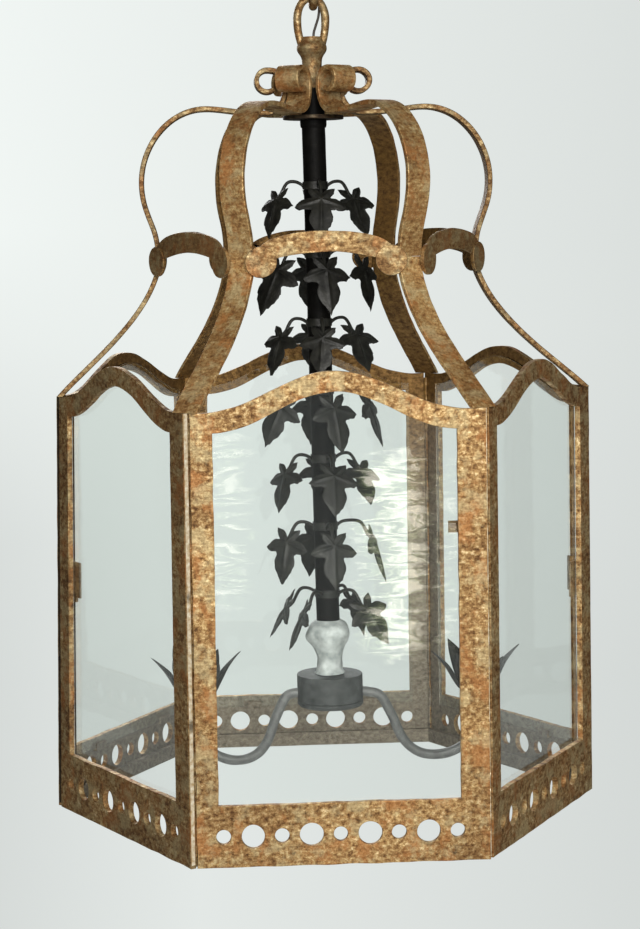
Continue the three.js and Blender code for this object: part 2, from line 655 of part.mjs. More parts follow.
// Six leaf-shaped petals that rise from a small disc and open outwards
function leafCup() {
  const disc = turned([
    [ARM_DIAMETER / 2 + SEAT_GAP, CUP_LEVEL], [14, CUP_LEVEL], [17, CUP_LEVEL + 3],
    [ARM_DIAMETER / 2 + SEAT_GAP, CUP_LEVEL + 3],
  ], 12);
  const rows = 4;
  const petal = (index) => {
    const tall = CUP_HEIGHT * (index % 2 ? 0.9 : 1);
    const section = (t) => {
      const r = 13 + (CUP_RADIUS - 13) * (0.55 * t ** 0.6 + 0.45 * t ** 3);
      const z = CUP_LEVEL + 1.2 + tall * t ** 1.25;
      const half = 11 * (1 - t ** 2) * (0.62 + 1.5 * t) + 0.05;
      return { r, z, half };
    };
    const positions = [];
    const grid = [];
    for (let i = 0; i <= rows; i++) {
      const { r, z, half } = section(i / rows);
      const lip = 2.2 * (i / rows) * (1 - i / rows) * 4;
      const back = [v3(r - 0.12 * lip, -half, z), v3(r + 1.2, 0, z - 0.6), v3(r - 0.12 * lip, half, z)];
      const front = back.map((p) => p.clone().add(v3(-LEAF_SHEET, 0, 0.5)));
      grid.push([...back, ...front.reverse()]);
    }
    const push = (...corners) => corners.forEach((c) => positions.push(c.x, c.y, c.z));
    const quad = (a, b, c, d) => {
      push(a, b, c);
      push(a, c, d);
    };
    for (let i = 0; i < rows; i++) {
      for (let j = 0; j < 6; j++) {
        const next = (j + 1) % 6;
        quad(grid[i][j], grid[i][next], grid[i + 1][next], grid[i + 1][j]);
      }
    }
    for (const [row, flip] of [[grid[0], false], [grid[rows], true]]) {
      const [a, b, c, d, e, f] = flip ? row : [...row].reverse();
      quad(a, b, e, f);
      quad(b, c, d, e);
    }
    const geometry = new THREE.BufferGeometry();
    geometry.setAttribute("position", new THREE.Float32BufferAttribute(positions, 3));
    return outward(geometry).rotateZ((index * 2 * Math.PI) / PETALS);
  };
  return join(disc, ...Array.from({ length: PETALS }, (_, i) => petal(i)));
}

const sleeveFoot = cupTopOfDisc + SEAT_GAP;
const sleeveTop = sleeveFoot + SLEEVE_HEIGHT;
const socketRadius = SLEEVE_RADIUS - SLEEVE_WALL - SEAT_GAP;
const sleeve = turned([
  [SLEEVE_RADIUS - SLEEVE_WALL, sleeveFoot], [SLEEVE_RADIUS, sleeveFoot],
  [SLEEVE_RADIUS, sleeveTop], [SLEEVE_RADIUS - SLEEVE_WALL, sleeveTop],
], 12);
const socket = turned([
  [0, armEnd + SEAT_GAP], [ARM_DIAMETER / 2, armEnd + SEAT_GAP], [ARM_DIAMETER / 2, sleeveTop - SOCKET_HEIGHT],
  [socketRadius, sleeveTop - SOCKET_HEIGHT + 3], [socketRadius, sleeveTop + 2], [SOCKET_BORE, sleeveTop + 2],
  [SOCKET_BORE, sleeveTop + 2 - SOCKET_DEPTH], [0, sleeveTop + 2 - SOCKET_DEPTH],
], 12);
const cup = leafCup();
Object.entries(ARM_REACH).forEach(([side, reach]) => {
  const turn = side === "right" ? 0 : Math.PI;
  const out = side === "right" ? reach : -reach;
  add(`arm_${side}`, arm(reach), blackIron, turn);
  add(`leaf_cup_${side}`, cup.clone(), blackIron).position.x = out;
  add(`candle_sleeve_${side}`, sleeve.clone(), sleeveIvory).position.x = out;
  add(`lampholder_${side}`, socket.clone(), socketDark).position.x = out;
});

// Chain link in the Y-Z plane, from arcs and straight sides
class LinkCurve extends THREE.Curve {
  getPoint(t, target = new THREE.Vector3()) {
    const arc = Math.PI * LINK_RADIUS;
    const run = 2 * (arc + LINK_STRAIGHT);
    let s = (t * run) % run;
    const low = linkLow + LINK_RADIUS;
    const high = low + LINK_STRAIGHT;
    if (s < arc) {
      const a = s / LINK_RADIUS;
      return target.set(0, -LINK_RADIUS * Math.cos(a), low - LINK_RADIUS * Math.sin(a));
    }
    s -= arc;
    if (s < LINK_STRAIGHT) {
      return target.set(0, LINK_RADIUS, low + s);
    }
    s -= LINK_STRAIGHT;
    if (s < arc) {
      const a = s / LINK_RADIUS;
      return target.set(0, LINK_RADIUS * Math.cos(a), high + LINK_RADIUS * Math.sin(a));
    }
    s -= arc;
    return target.set(0, -LINK_RADIUS, high - s);
  }
}

// Closed ring of round wire: rings of points about a closed curve that lies in a plane
function closedWire(curve, radius, steps, sides, planeNormal) {
  const rings = Array.from({ length: steps }, (_, i) => {
    const at = curve.getPointAt(i / steps);
    const along = curve.getTangentAt(i / steps);
    const side = along.clone().cross(planeNormal).normalize();
    return Array.from({ length: sides }, (_, j) => {
      const a = (j * 2 * Math.PI) / sides;
      return at.clone()
        .addScaledVector(side, radius * Math.cos(a))
        .addScaledVector(planeNormal, radius * Math.sin(a));
    });
  });
  const positions = [];
  const push = (...corners) => corners.forEach((c) => positions.push(c.x, c.y, c.z));
  for (let i = 0; i < steps; i++) {
    const here = rings[i];
    const next = rings[(i + 1) % steps];
    for (let j = 0; j < sides; j++) {
      const k = (j + 1) % sides;
      push(here[j], next[j], next[k]);
      push(here[j], next[k], here[k]);
    }
  }
  const geometry = new THREE.BufferGeometry();
  geometry.setAttribute("position", new THREE.Float32BufferAttribute(positions, 3));
  return outward(geometry);
}
add("chain_link", closedWire(new LinkCurve(), LINK_WIRE / 2, 20, 6, v3(1, 0, 0)), gilt);

// Ceiling fitting: eye with a shank, canopy and plate
const eyeCentre = eyeLow + EYE_RADIUS;
const cordAt = v2(6.4, 9.5);
const shankTop = ceilingLow - 1;
const eyeRing = new THREE.TorusGeometry(EYE_RADIUS, EYE_WIRE / 2, 6, 16)
  .rotateX(Math.PI / 2)
  .translate(0, 0, eyeCentre);
const shank = turned([
  [0, eyeTop - 5], [5, eyeTop - 4], [7, canopyLow - SEAT_GAP], [EYE_WIRE / 2, canopyLow - SEAT_GAP],
  [EYE_WIRE / 2, shankTop], [0, shankTop],
], 8);
add("canopy_eye", join(eyeRing, shank), gilt);
const canopyShell = turned([
  [EYE_WIRE / 2 + SEAT_GAP, canopyLow], [18, canopyLow], [CANOPY_RADIUS - 12, canopyLow + 8],
  [CANOPY_RADIUS - 2, canopyLow + 15], [CANOPY_RADIUS, ceilingLow - SEAT_GAP],
  [CANOPY_RADIUS - CANOPY_WALL, ceilingLow - SEAT_GAP], [CANOPY_RADIUS - 4, canopyLow + 16],
  [CANOPY_RADIUS - 13.5, canopyLow + 9.8], [18, canopyLow + CANOPY_WALL],
  [EYE_WIRE / 2 + SEAT_GAP, canopyLow + CANOPY_WALL],
], 16);
const cordHole = rod(CORD_DIAMETER / 2 + 0.5, 12, 12).translate(cordAt.x, cordAt.y, canopyLow);
add("canopy", cut(canopyShell, cordHole), gilt);
const bossRadius = EYE_WIRE / 2 + 3.5;
const bossFoot = canopyLow + CANOPY_WALL + SEAT_GAP;
const ceilingDisc = turned([
  [0, ceilingLow], [EYE_WIRE / 2 + SEAT_GAP, ceilingLow], [EYE_WIRE / 2 + SEAT_GAP, bossFoot],
  [bossRadius, bossFoot], [bossRadius, ceilingLow], [CEILING_PLATE_RADIUS, ceilingLow],
  [CEILING_PLATE_RADIUS, ceilingTop], [0, ceilingTop],
], 16);
const screwHoles = [-1, 1].map((side) => rod(2.5, 20, 8).translate(side * 32, 0, ceilingTop));
add("ceiling_plate", cut(ceilingDisc, ...screwHoles), greyIron);

// Supply cord beside the link: a stretch on the lantern and one on the link
const cordJoint = linkLow + 19;
const lowerRoute = [
  v3(0, 0, knobTop - 12), v3(0, 0, knobTop + 3), v3(2.2, 1.6, knobTop + 11), v3(5.4, 4.8, knobTop + 21),
  v3(6.5, 6.6, knobTop + 31), v3(6.5, 7.8, knobTop + 41), v3(6.4, 8.4, cordJoint - SEAT_GAP),
];
const upperRoute = [
  v3(6.4, 8.4, cordJoint), v3(6.4, 9.2, cordJoint + 14), v3(6.4, 9.5, canopyLow - 8), v3(6.4, 9.5, canopyLow + 8),
];
add("supply_cord_lower", tube(new THREE.CatmullRomCurve3(lowerRoute), CORD_DIAMETER / 2, 8, 10), cordBrown);
add("supply_cord_upper", tube(new THREE.CatmullRomCurve3(upperRoute), CORD_DIAMETER / 2, 8, 8), cordBrown);

export default lantern;
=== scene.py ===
import json
from math import ceil, copysign, cos, exp, hypot, pi, radians, sin, tan, tau

import bpy
import bmesh
from mathutils import Matrix, Vector, noise

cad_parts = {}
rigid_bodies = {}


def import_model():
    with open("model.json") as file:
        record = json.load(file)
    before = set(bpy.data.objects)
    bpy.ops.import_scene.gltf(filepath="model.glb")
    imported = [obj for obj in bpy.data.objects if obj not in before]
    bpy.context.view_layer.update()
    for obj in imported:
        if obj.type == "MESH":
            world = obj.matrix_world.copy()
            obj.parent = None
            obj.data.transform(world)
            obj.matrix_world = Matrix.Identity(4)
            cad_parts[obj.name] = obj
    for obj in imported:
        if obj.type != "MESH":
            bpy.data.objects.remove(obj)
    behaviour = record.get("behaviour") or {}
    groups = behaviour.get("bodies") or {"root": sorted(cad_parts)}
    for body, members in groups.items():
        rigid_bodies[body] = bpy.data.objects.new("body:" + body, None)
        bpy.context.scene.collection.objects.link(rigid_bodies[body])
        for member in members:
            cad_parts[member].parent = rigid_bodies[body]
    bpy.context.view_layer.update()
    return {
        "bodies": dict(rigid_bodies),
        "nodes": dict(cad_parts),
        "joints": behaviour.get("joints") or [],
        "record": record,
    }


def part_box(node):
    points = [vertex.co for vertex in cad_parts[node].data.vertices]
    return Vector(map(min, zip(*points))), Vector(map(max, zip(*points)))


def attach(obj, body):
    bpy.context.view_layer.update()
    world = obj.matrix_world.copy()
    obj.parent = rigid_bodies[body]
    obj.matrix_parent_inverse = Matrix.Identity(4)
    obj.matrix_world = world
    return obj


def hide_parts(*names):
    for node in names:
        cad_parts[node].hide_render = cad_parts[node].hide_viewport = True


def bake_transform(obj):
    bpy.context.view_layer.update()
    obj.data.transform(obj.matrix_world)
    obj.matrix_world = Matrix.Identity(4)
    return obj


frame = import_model()

# Sizes in millimetres and levels above the body's lower edge, the same as the solids' sizes
MM = 0.001
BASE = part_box("panel_frame_front")[0][2]
CORNER_RADIUS = 280
PLATE = 6
BODY_HEIGHT = 423
SHOULDER = 19
ARCH_RISE = 36.5
STILE = 27
RAIL = 58
HOLE_PITCH = 27.3
BIG_HOLE = 22
SMALL_HOLE = 13.6
HOLE_LEVEL = 28.6
RING_HEIGHT = 15
RING_WALL = 6
SEAT_GAP = 0.3
CORNER_GAP = 0.4
GLASS = 3
GLASS_LAP = 2.5
GLASS_DROP = 12
RIB_WIDTH = 26
RIB = 5
FOOT_INSET = 5
ROOF_RISE = 127
NECK_RADIUS = 165.5
NECK_HEIGHT = 32
NECK_JOINT = 12
BAND_SHEET = 4
BAND_HEIGHT = 19.5
BAND_ARCH = 14
LOBE_RADIUS = 15
LOBE_LAP = 6
BULGE_RADIUS = 178
BULGE_RISE = 56
CROWN_RISE = 70
HUMP = 5
CROWN_PLATE = 4
SCROLL_CENTRE = 46.5
SCROLL_RADIUS = 11
SCROLL_LIFT = 32.5
SCROLL_NECK = 28
STEM_RADIUS = 12
STEM_END = 116
STEM_REACH = 25
TIERS = 7
TIER_LEVEL = 214
TIER_PITCH = 70
LEAF_WIDTH = 53
LEAF_LENGTH = 50
LEAF_SHEET = 1.6
TENDRIL = 3.4
TENDRIL_REACH = 38
TENDRIL_RISE = 4
HUB_RADIUS = 34
HUB_HEIGHT = 27
HUB_TOP = 130
ARM_LEVEL = 110
ARM_DIAMETER = 10
ARM_DIP = 42
ARM_REACH = {"left": 137, "right": 151}
CUP_LEVEL = 108
CUP_RADIUS = 45
CUP_HEIGHT = 46
SLEEVE_RADIUS = 13
SLEEVE_HEIGHT = 82
LOOP_WIRE = 8.2
LOOP_HALF_WIDTH = 14.3
LOOP_RISE = 21.9
KNOB_HEIGHT = 52
KNOB_RADIUS = 15.5
LINK_WIRE = 9
LINK_RADIUS = 11
LINK_STRAIGHT = 24
EYE_WIRE = 8
EYE_RADIUS = 11
CORD_DIAMETER = 2.6

COS_30 = cos(pi / 6)
SIN_30 = sin(pi / 6)
APOTHEM = CORNER_RADIUS * COS_30
HALF_SIDE = CORNER_RADIUS / 2
INNER_FACE = APOTHEM - PLATE
WINDOW_HALF = HALF_SIDE - STILE
NECK_LEVEL = BODY_HEIGHT + ROOF_RISE
NECK_TOP = NECK_LEVEL + NECK_HEIGHT
BULGE_LEVEL = NECK_TOP + BULGE_RISE
STRIP_LEVEL = BULGE_LEVEL + CROWN_RISE
STEM_TOP = STRIP_LEVEL + STEM_REACH
KNOB_TOP = STEM_TOP + KNOB_HEIGHT
LOOP_WIDE = KNOB_TOP + 18
LOOP_TOP = LOOP_WIDE + LOOP_RISE
LINK_LOW = LOOP_TOP - LOOP_WIRE / 2 - SEAT_GAP - LINK_WIRE / 2
LINK_HIGH = LINK_LOW + 2 * LINK_RADIUS + LINK_STRAIGHT
EYE_LOW = LINK_HIGH - LINK_WIRE / 2 - SEAT_GAP - EYE_WIRE / 2
EYE_TOP = EYE_LOW + 2 * EYE_RADIUS + EYE_WIRE / 2
CANOPY_LOW = EYE_TOP + 2.5
FACES = ["front", "front_right", "back_right", "back", "back_left", "front_left"]
CORNERS = ["front_right", "right", "back_right", "back_left", "left", "front_left"]


# Scene helpers
scene = bpy.context.scene


def add_object(name, data):
    thing = bpy.data.objects.new(name, data)
    scene.collection.objects.link(thing)
    return thing


def add_mesh(name, points, faces, material):
    """An object made of points in millimetres."""
    mesh = bpy.data.meshes.new(name)
    mesh.from_pydata([metres(p) for p in points], [], faces)
    mesh.materials.append(material)
    return add_object(name, mesh)


def metres(point):
    return Vector(point) * MM + Vector((0, 0, BASE))


def turn(axis, angle):
    return Matrix.Rotation(angle, 3, axis)


def sixth(k):
    """A turn by k sixths of a circle: face k stands at k, corner k at k - 1."""
    return turn("Z", k * pi / 3)


# Camera
VIEW_FROM = metres((-132.6, -2263, 595.5))
YAW, PITCH, ROLL = -0.0593, -0.0529, -0.0153
FOCAL_PIXELS = 2209.1
PICTURE_HEIGHT = 929
CENTRE_ROW = 340


def make_camera():
    forward = Vector((-sin(YAW) * cos(PITCH), cos(YAW) * cos(PITCH), sin(PITCH)))
    level = Vector((cos(YAW), sin(YAW), 0))
    above = level.cross(forward)
    right = cos(ROLL) * level + sin(ROLL) * above
    up = cos(ROLL) * above - sin(ROLL) * level
    data = bpy.data.cameras.new("camera")
    data.sensor_fit = "VERTICAL"
    data.sensor_height = 36
    data.lens = FOCAL_PIXELS / PICTURE_HEIGHT * data.sensor_height
    data.shift_y = (CENTRE_ROW - PICTURE_HEIGHT / 2) / PICTURE_HEIGHT
    data.clip_start = 0.05
    scene.camera = add_object("camera", data)
    scene.camera.matrix_world = Matrix((right, up, -forward)).transposed().to_4x4()
    scene.camera.location = VIEW_FROM


make_camera()


# Materials
class Nodes:
    """A node tree. Inputs that are given sockets are linked, the others are set."""

    def __init__(self, tree):
        self.tree = tree
        self.place = self.add("TexCoord")

    def fill(self, node, values):
        for key, value in values.items():
            socket = node.inputs[key]
            if isinstance(value, bpy.types.NodeSocket):
                self.tree.links.new(value, socket)
            else:
                socket.default_value = (*value, 1) if socket.type == "RGBA" else value

    def add(self, kind, values=None, **settings):
        """Adds a node and returns its outputs."""
        node = self.tree.nodes.new("ShaderNode" + kind)
        for name, setting in settings.items():
            setattr(node, name, setting)
        self.fill(node, values or {})
        return node.outputs

    def noise(self, scale, detail=3.0, roughness=0.55, stretch=None):
        """Noise of the given scale per metre in object coordinates, which stretch multiplies."""
        at = self.place["Object"]
        if stretch:
            at = self.add("Mapping", {"Vector": at, "Scale": stretch})[0]
        return self.add("TexNoise", {"Vector": at, "Scale": scale, "Detail": detail, "Roughness": roughness})["Fac"]

    def ramp(self, value, *stops):
        """Colour ramp with (position, colour) stops."""
        node = self.tree.nodes.new("ShaderNodeValToRGB")
        while len(node.color_ramp.elements) < len(stops):
            node.color_ramp.elements.new(0.5)
        for element, (position, colour) in zip(node.color_ramp.elements, stops):
            element.position = position
            element.color = (*colour, 1)
        self.fill(node, {"Fac": value})
        return node.outputs["Color"]

    def remap(self, value, low, high, to_low=0, to_high=1):
        return self.add("MapRange", {"Value": value, "From Min": low, "From Max": high,
                                     "To Min": to_low, "To Max": to_high})["Result"]

    def mix(self, share, first, second, blend="MIX"):
        return self.add("Mix", {0: share, 6: first, 7: second}, data_type="RGBA", blend_type=blend)[2]

    def calc(self, operation, first, second):
        return self.add("Math", {0: first, 1: second}, operation=operation)[0]

    def product(self, first, *others):
        for value in others:
            first = self.calc("MULTIPLY", first, value)
        return first


class Finish(Nodes):
    """A Principled material under construction."""

    def __init__(self, name, metallic, roughness):
        self.material = bpy.data.materials.new(name)
        self.material.use_nodes = True
        super().__init__(self.material.node_tree)
        self.shade({"Metallic": metallic, "Roughness": roughness})

    def shade(self, values):
        self.fill(self.tree.nodes["Principled BSDF"], values)

    def bump(self, *layers):
        """Bumps of (height, distance, strength), each on the one before."""
        below = {}
        for height, distance, strength in layers:
            values = {"Height": height, "Distance": distance, "Strength": strength}
            below = {"Normal": self.add("Bump", {**values, **below})[0]}
        self.shade(below)

    def inside_share(self, start, end):
        """1 on faces that look towards the stem, 0 on the others."""
        level = self.add("VectorMath", {0: self.place["Object"], 1: (1, 1, 0)}, operation="MULTIPLY")["Vector"]
        facing = self.add("VectorMath", {0: level, 1: self.place["Normal"]}, operation="DOT_PRODUCT")["Value"]
        return self.remap(facing, start, end)


def dimmed(colour, depth):
    return tuple(depth * c for c in colour)


# Where a face starts to count as an inner one, on a frame and on a bar
INNER_REACH = {"inside": (-0.17, -0.21), "bar": (-0.01, -0.05)}
FLAKE_STOPS = [(0.34, (0.075, 0.032, 0.011)), (0.42, (0.2, 0.1, 0.034)), (0.49, (0.35, 0.2, 0.075)),
               (0.56, (0.5, 0.342, 0.15)), (0.66, (0.86, 0.7, 0.43))]
FLAKE_MIDDLE = 0.51
RUST_BLOOM = (0.42, 0.18, 0.055)
OLIVE_PATCH = (0.56, 0.46, 0.25)


def gilded_iron(name, depth, dull=None, calm=1.0):
    """Worn gilding over rust in flakes, softer where calm is more than 1.

    Over them lie a broad tone, bloom, olive patches, speckle and grain. All faces may be dull, or those
    that look towards the stem, which are taupe low down and rusty high up.
    """
    finish = Finish(name, 0.62, 0.5)
    flakes = finish.noise(165, 8, 0.74, (1, 1, 1.3))
    base = finish.ramp(flakes, *((FLAKE_MIDDLE + (at - FLAKE_MIDDLE) * calm, stop) for at, stop in FLAKE_STOPS))
    tone = finish.ramp(finish.noise(14, 4), (0.34, (0.72, 0.66, 0.6)), (0.5, (0.97, 0.95, 0.92)),
                       (0.66, (1.24, 1.25, 1.26)))
    colour = finish.mix(1.0, base, dimmed((1, 1, 1), depth), "MULTIPLY")
    colour = finish.mix(1.0, colour, tone, "MULTIPLY")
    bloom = finish.remap(finish.noise(38, 7, 0.68, (1, 1, 0.7)), 0.51, 0.6, 0, 0.7)
    colour = finish.mix(bloom, colour, dimmed(RUST_BLOOM, depth))
    olive = finish.remap(finish.noise(52, 6, 0.66), 0.5, 0.6, 0, 0.55)
    colour = finish.mix(olive, colour, dimmed(OLIVE_PATCH, depth))
    speck = finish.noise(430, 4, 0.65)
    speck_tone = finish.ramp(speck, (0.34, (0.62, 0.57, 0.52)), (0.5, (1, 1, 1)), (0.66, (1.24, 1.29, 1.36)))
    colour = finish.mix(0.75, colour, speck_tone, "MULTIPLY")
    grain = finish.ramp(finish.noise(60, 3, 0.6, (1, 1, 9)), (0.4, (0.82, 0.78, 0.74)), (0.6, (1.1, 1.11, 1.12)))
    colour = finish.mix(0.7, colour, grain, "MULTIPLY")
    if dull:
        taupe = finish.ramp(flakes, (0.35, (0.11, 0.088, 0.062)), (0.65, (0.3, 0.26, 0.2)))
        rust = finish.ramp(flakes, (0.35, (0.055, 0.024, 0.005)), (0.65, (0.25, 0.135, 0.035)))
        level = finish.add("SeparateXYZ", {0: finish.place["Object"]})["Z"]
        low, high = (BASE + share * BODY_HEIGHT * MM for share in (0.55, 0.95))
        inner = finish.mix(finish.remap(level, low, high), taupe, rust)
        share = finish.inside_share(*INNER_REACH[dull]) if dull in INNER_REACH else 1.0
        colour = finish.mix(share, colour, inner)
    finish.shade({"Base Color": colour, "Roughness": finish.remap(flakes, 0.4, 0.66, 0.7, 0.42)})
    finish.bump((flakes, 0.0007, 0.6), (speck, 0.0003, 0.5))
    return finish.material


def dark_iron(name, low, high, roughness, metallic, scale, gloss=0.5):
    """Forged iron with a mottled skin."""
    finish = Finish(name, metallic, roughness)
    mottle = finish.noise(scale, 4, 0.6)
    grain = finish.noise(600)
    finish.shade({"Specular IOR Level": gloss, "Base Color": finish.ramp(mottle, (0.32, low), (0.68, high)),
                  "Roughness": finish.remap(grain, 0.3, 0.7, roughness - 0.12, roughness + 0.12)})
    finish.bump((mottle, 0.0012, 0.5), (grain, 0.0003, 0.4))
    return finish.material


def clear_glass():
    """Old drawn glass, slightly green and slightly wavy."""
    finish = Finish("clear_glass", 0, 0)
    finish.shade({"Base Color": (0.945, 0.972, 0.955), "Transmission Weight": 1, "IOR": 1.45})
    finish.bump((finish.noise(9, 2, 0.5, (1, 1, 2.4)), 0.0006, 0.25))
    return finish.material


def plain_finish(name, low, high, metallic, roughness, scale=300, depth=0.0002):
    finish = Finish(name, metallic, roughness)
    grain = finish.noise(scale)
    finish.shade({"Base Color": finish.ramp(grain, (0.3, low), (0.7, high)),
                  "Roughness": finish.remap(grain, 0.3, 0.7, roughness - 0.08, roughness + 0.08)})
    finish.bump((grain, depth, 0.5))
    return finish.material


FRAME = gilded_iron("gilded_frame", 0.9, "inside")
# Darker copy of the frame gilding for the front left panel: painted shade.
SHADED = gilded_iron("shaded_frame", 0.77, "inside")
LINING = gilded_iron("dull_band", 1.0, "all")
GILT = gilded_iron("gilded_bar", 1.1, "bar", 1.25)
# Brighter copy of the gilding for the roof bars, which face up towards the light: painted light.
LIT_ROOF = gilded_iron("lit_roof_bar", 1.4, "bar", 1.35)
ARCH = gilded_iron("gilded_arch", 0.74, "bar", 1.5)
# Darker copy of the gilding for the bars on the left and right corners, which turn away from the light: painted
# shade.
SHADE_SIDE = gilded_iron("shaded_side_bar", 0.6, "bar", 1.3)
DULL = gilded_iron("gilded_fitting", 0.74, None, 1.1)
# Near black copy of the gilding for the crown disc and the front left seam strip: painted shade.
PAINTED_SHADE = gilded_iron("shaded_plate", 0.1)
CLIP = gilded_iron("tarnished_clip", 0.26, "bar")
BLACK = dark_iron("black_iron", (0.0012, 0.0011, 0.0009), (0.004, 0.0036, 0.003), 0.6, 0.0, 90, 0.1)
LEAF = dark_iron("leaf_iron", (0.003, 0.003, 0.0022), (0.018, 0.018, 0.0135), 0.5, 0.0, 120, 0.35)
ARM = dark_iron("arm_iron", (0.085, 0.088, 0.086), (0.165, 0.17, 0.166), 0.5, 0.1, 120)
GREY = dark_iron("grey_iron", (0.034, 0.037, 0.037), (0.084, 0.089, 0.088), 0.65, 0.05, 90, 0.2)
PEWTER = dark_iron("pale_iron", (0.26, 0.29, 0.285), (0.6, 0.64, 0.63), 0.6, 0.05, 75, 0.3)
# Pale gold for the strips in the panels' corner seams: a painted highlight on the edge.
PAINTED_HIGHLIGHT = plain_finish("painted_light_edge", (0.6, 0.42, 0.2), (1.0, 0.93, 0.76), 0.4, 0.4, 240)
CLEAR = clear_glass()
STEEL = plain_finish("bare_steel", (0.26, 0.26, 0.25), (0.4, 0.4, 0.39), 0.9, 0.45)
IVORY = plain_finish("ivory_sleeve", (0.68, 0.62, 0.48), (0.8, 0.75, 0.62), 0, 0.55, 120, 0.0003)
SOCKET = plain_finish("dark_plastic", (0.02, 0.018, 0.016), (0.035, 0.032, 0.028), 0, 0.4)
CORD = plain_finish("brown_cord", (0.03, 0.025, 0.02), (0.06, 0.05, 0.04), 0, 0.6, 900)
SLOT_FINISH = {
    "gilded_iron": GILT, "black_iron": BLACK, "grey_iron": GREY, "clear_glass": CLEAR, "bare_steel": STEEL,
    "ivory_sleeve": IVORY, "dark_plastic": SOCKET, "brown_cord": CORD,
}
for part in frame["record"]["subparts"]:
    node = frame["nodes"][part["node"]]
    node.data.materials.clear()
    node.data.materials.append(SLOT_FINISH[part["material_slot"]])


# Handmade irregularity: the left corner sits a little closer in, and the stem hangs a little askew
CORNER_PULL = (4.3, 11)
STEM_LEAN = 0.0143


def settle_body(p):
    """Draws the left corner in, most at the shoulders, and fades out at the neck."""
    share = max(0, (-p.x - HALF_SIDE) / HALF_SIDE)
    low, high = CORNER_PULL
    pull = low + (high - low) * min(p.z / BODY_HEIGHT, 1)
    fade = 1 - min(max((p.z - BODY_HEIGHT) / ROOF_RISE, 0), 1)
    return Vector((p.x + share * pull * fade, p.y, p.z))


def settle_stem(p):
    """Leans the stem to the right below the neck, and the knob a little to the left above it."""
    return Vector((p.x + STEM_LEAN * (NECK_TOP - min(p.z, STEM_TOP)), p.y, p.z))


def settle_crown(p):
    """Takes the crown's middle along with the stem's top."""
    share = min(max((2 * SCROLL_CENTRE - hypot(p.x, p.y)) / SCROLL_CENTRE, 0), 1)
    return p.lerp(settle_stem(p), share * share * (3 - 2 * share))


# Mesh tools, in millimetres
def wobble(x, y, z):
    return noise.noise(Vector((x, y, z)))


class Shape:
    """Points and faces on their way to a mesh."""

    def __init__(self):
        self.points = []
        self.faces = []

    def add(self, points, faces):
        start = len(self.points)
        self.points += [Vector(p) for p in points]
        self.faces += [[start + i for i in face] for face in faces]
        return self

    def join(self, other):
        return self.add(other.points, other.faces)

    def turned(self, matrix):
        self.points = [matrix @ p for p in self.points]
        return self

    def moved(self, offset):
        self.points = [p + Vector(offset) for p in self.points]
        return self


def finish_piece(name, shape, material, node=None, settle=Vector, body="lantern", sharp=35):
    """Makes the object, rides it on its body and hides the CAD node that it stands for."""
    piece = add_mesh(name, [settle(p) for p in shape.points], shape.faces, material)
    mesh = piece.data
    work = bmesh.new()
    work.from_mesh(mesh)
    bmesh.ops.remove_doubles(work, verts=work.verts, dist=2e-6)
    bmesh.ops.dissolve_degenerate(work, edges=work.edges, dist=1e-6)
    bmesh.ops.recalc_face_normals(work, faces=work.faces)
    work.to_mesh(mesh)
    work.free()
    mesh.shade_smooth()
    mesh.set_sharp_from_angle(angle=radians(sharp))
    piece.modifiers.new("even", "WEIGHTED_NORMAL").keep_sharp = True
    if body:
        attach(piece, body)
    if node:
        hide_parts(node)
    return piece


def circle(radius, count, start=0.0):
    return [(radius * cos(start + i * tau / count), radius * sin(start + i * tau / count))
            for i in range(count)]


def bar_section(width, thickness, radius, steps=3):
    """Rounded rectangle."""
    points = []
    for sx, sy, first in ((1, 1, 0), (-1, 1, 1), (-1, -1, 2), (1, -1, 3)):
        for i in range(steps + 1):
            a = (first + i / steps) * pi / 2
            points.append((sx * (width / 2 - radius) + radius * cos(a),
                           sy * (thickness / 2 - radius) + radius * sin(a)))
    return points


def tube_faces(rings, size, closed=True):
    """Quads between rings of size points each."""
    faces = []
    for i in range(rings if closed else rings - 1):
        a, b = i * size, (i + 1) % rings * size
        faces += [[a + j, a + (j + 1) % size, b + (j + 1) % size, b + j] for j in range(size)]
    return faces


def sweep(path, section, axis=None, closed=False, hammer=0.0, seed=0.0):
    """Section along a path. Its first coordinate follows axis where one is given, or else is carried along."""
    path = [Vector(p) for p in path]
    count = len(path)
    carried = None
    rings = []
    for i, point in enumerate(path):
        before = path[i - 1] if closed or i else path[0]
        after = path[(i + 1) % count] if closed or i + 1 < count else path[-1]
        along = (after - before).normalized()
        if axis is not None:
            side = Vector(axis)
        else:
            guess = carried or (Vector((0, 0, 1)) if abs(along.z) < 0.9 else Vector((1, 0, 0)))
            side = (guess - along * guess.dot(along)).normalized()
            carried = side
        normal = along.cross(side).normalized()
        ring = []
        for j, (a, b) in enumerate(section):
            swell = 1.0
            if hammer:
                at = point * 0.07 + Vector((seed, 3.7 * (a > 0), 5.1 * (b > 0)))
                swell += hammer * noise.noise(at)
            ring.append(point + side * a * swell + normal * b * (1 + 1.5 * (swell - 1)))
        rings.append(ring)
    size = len(section)
    points = [p for ring in rings for p in ring]
    faces = tube_faces(count, size, closed)
    if not closed:
        faces += [list(range(size)), [(count - 1) * size + j for j in reversed(range(size))]]
    return Shape().add(points, faces)


def lathe(profile, segments=48, rough=0.0, seed=0.0):
    """Closed profile of (radius, level) turned about the stem's axis, with a little unevenness if asked."""
    points = []
    for i in range(segments):
        a = i * tau / segments
        for r, z in profile:
            uneven = 1.0
            if rough and r > 0:
                uneven += rough * wobble(cos(a) * 1.7, sin(a) * 1.7, z * 0.06 + seed)
            points.append((r * uneven * cos(a), r * uneven * sin(a), z))
    faces = [[a, d, c, b] for a, b, c, d in tube_faces(segments, len(profile))]
    return Shape().add(points, faces)


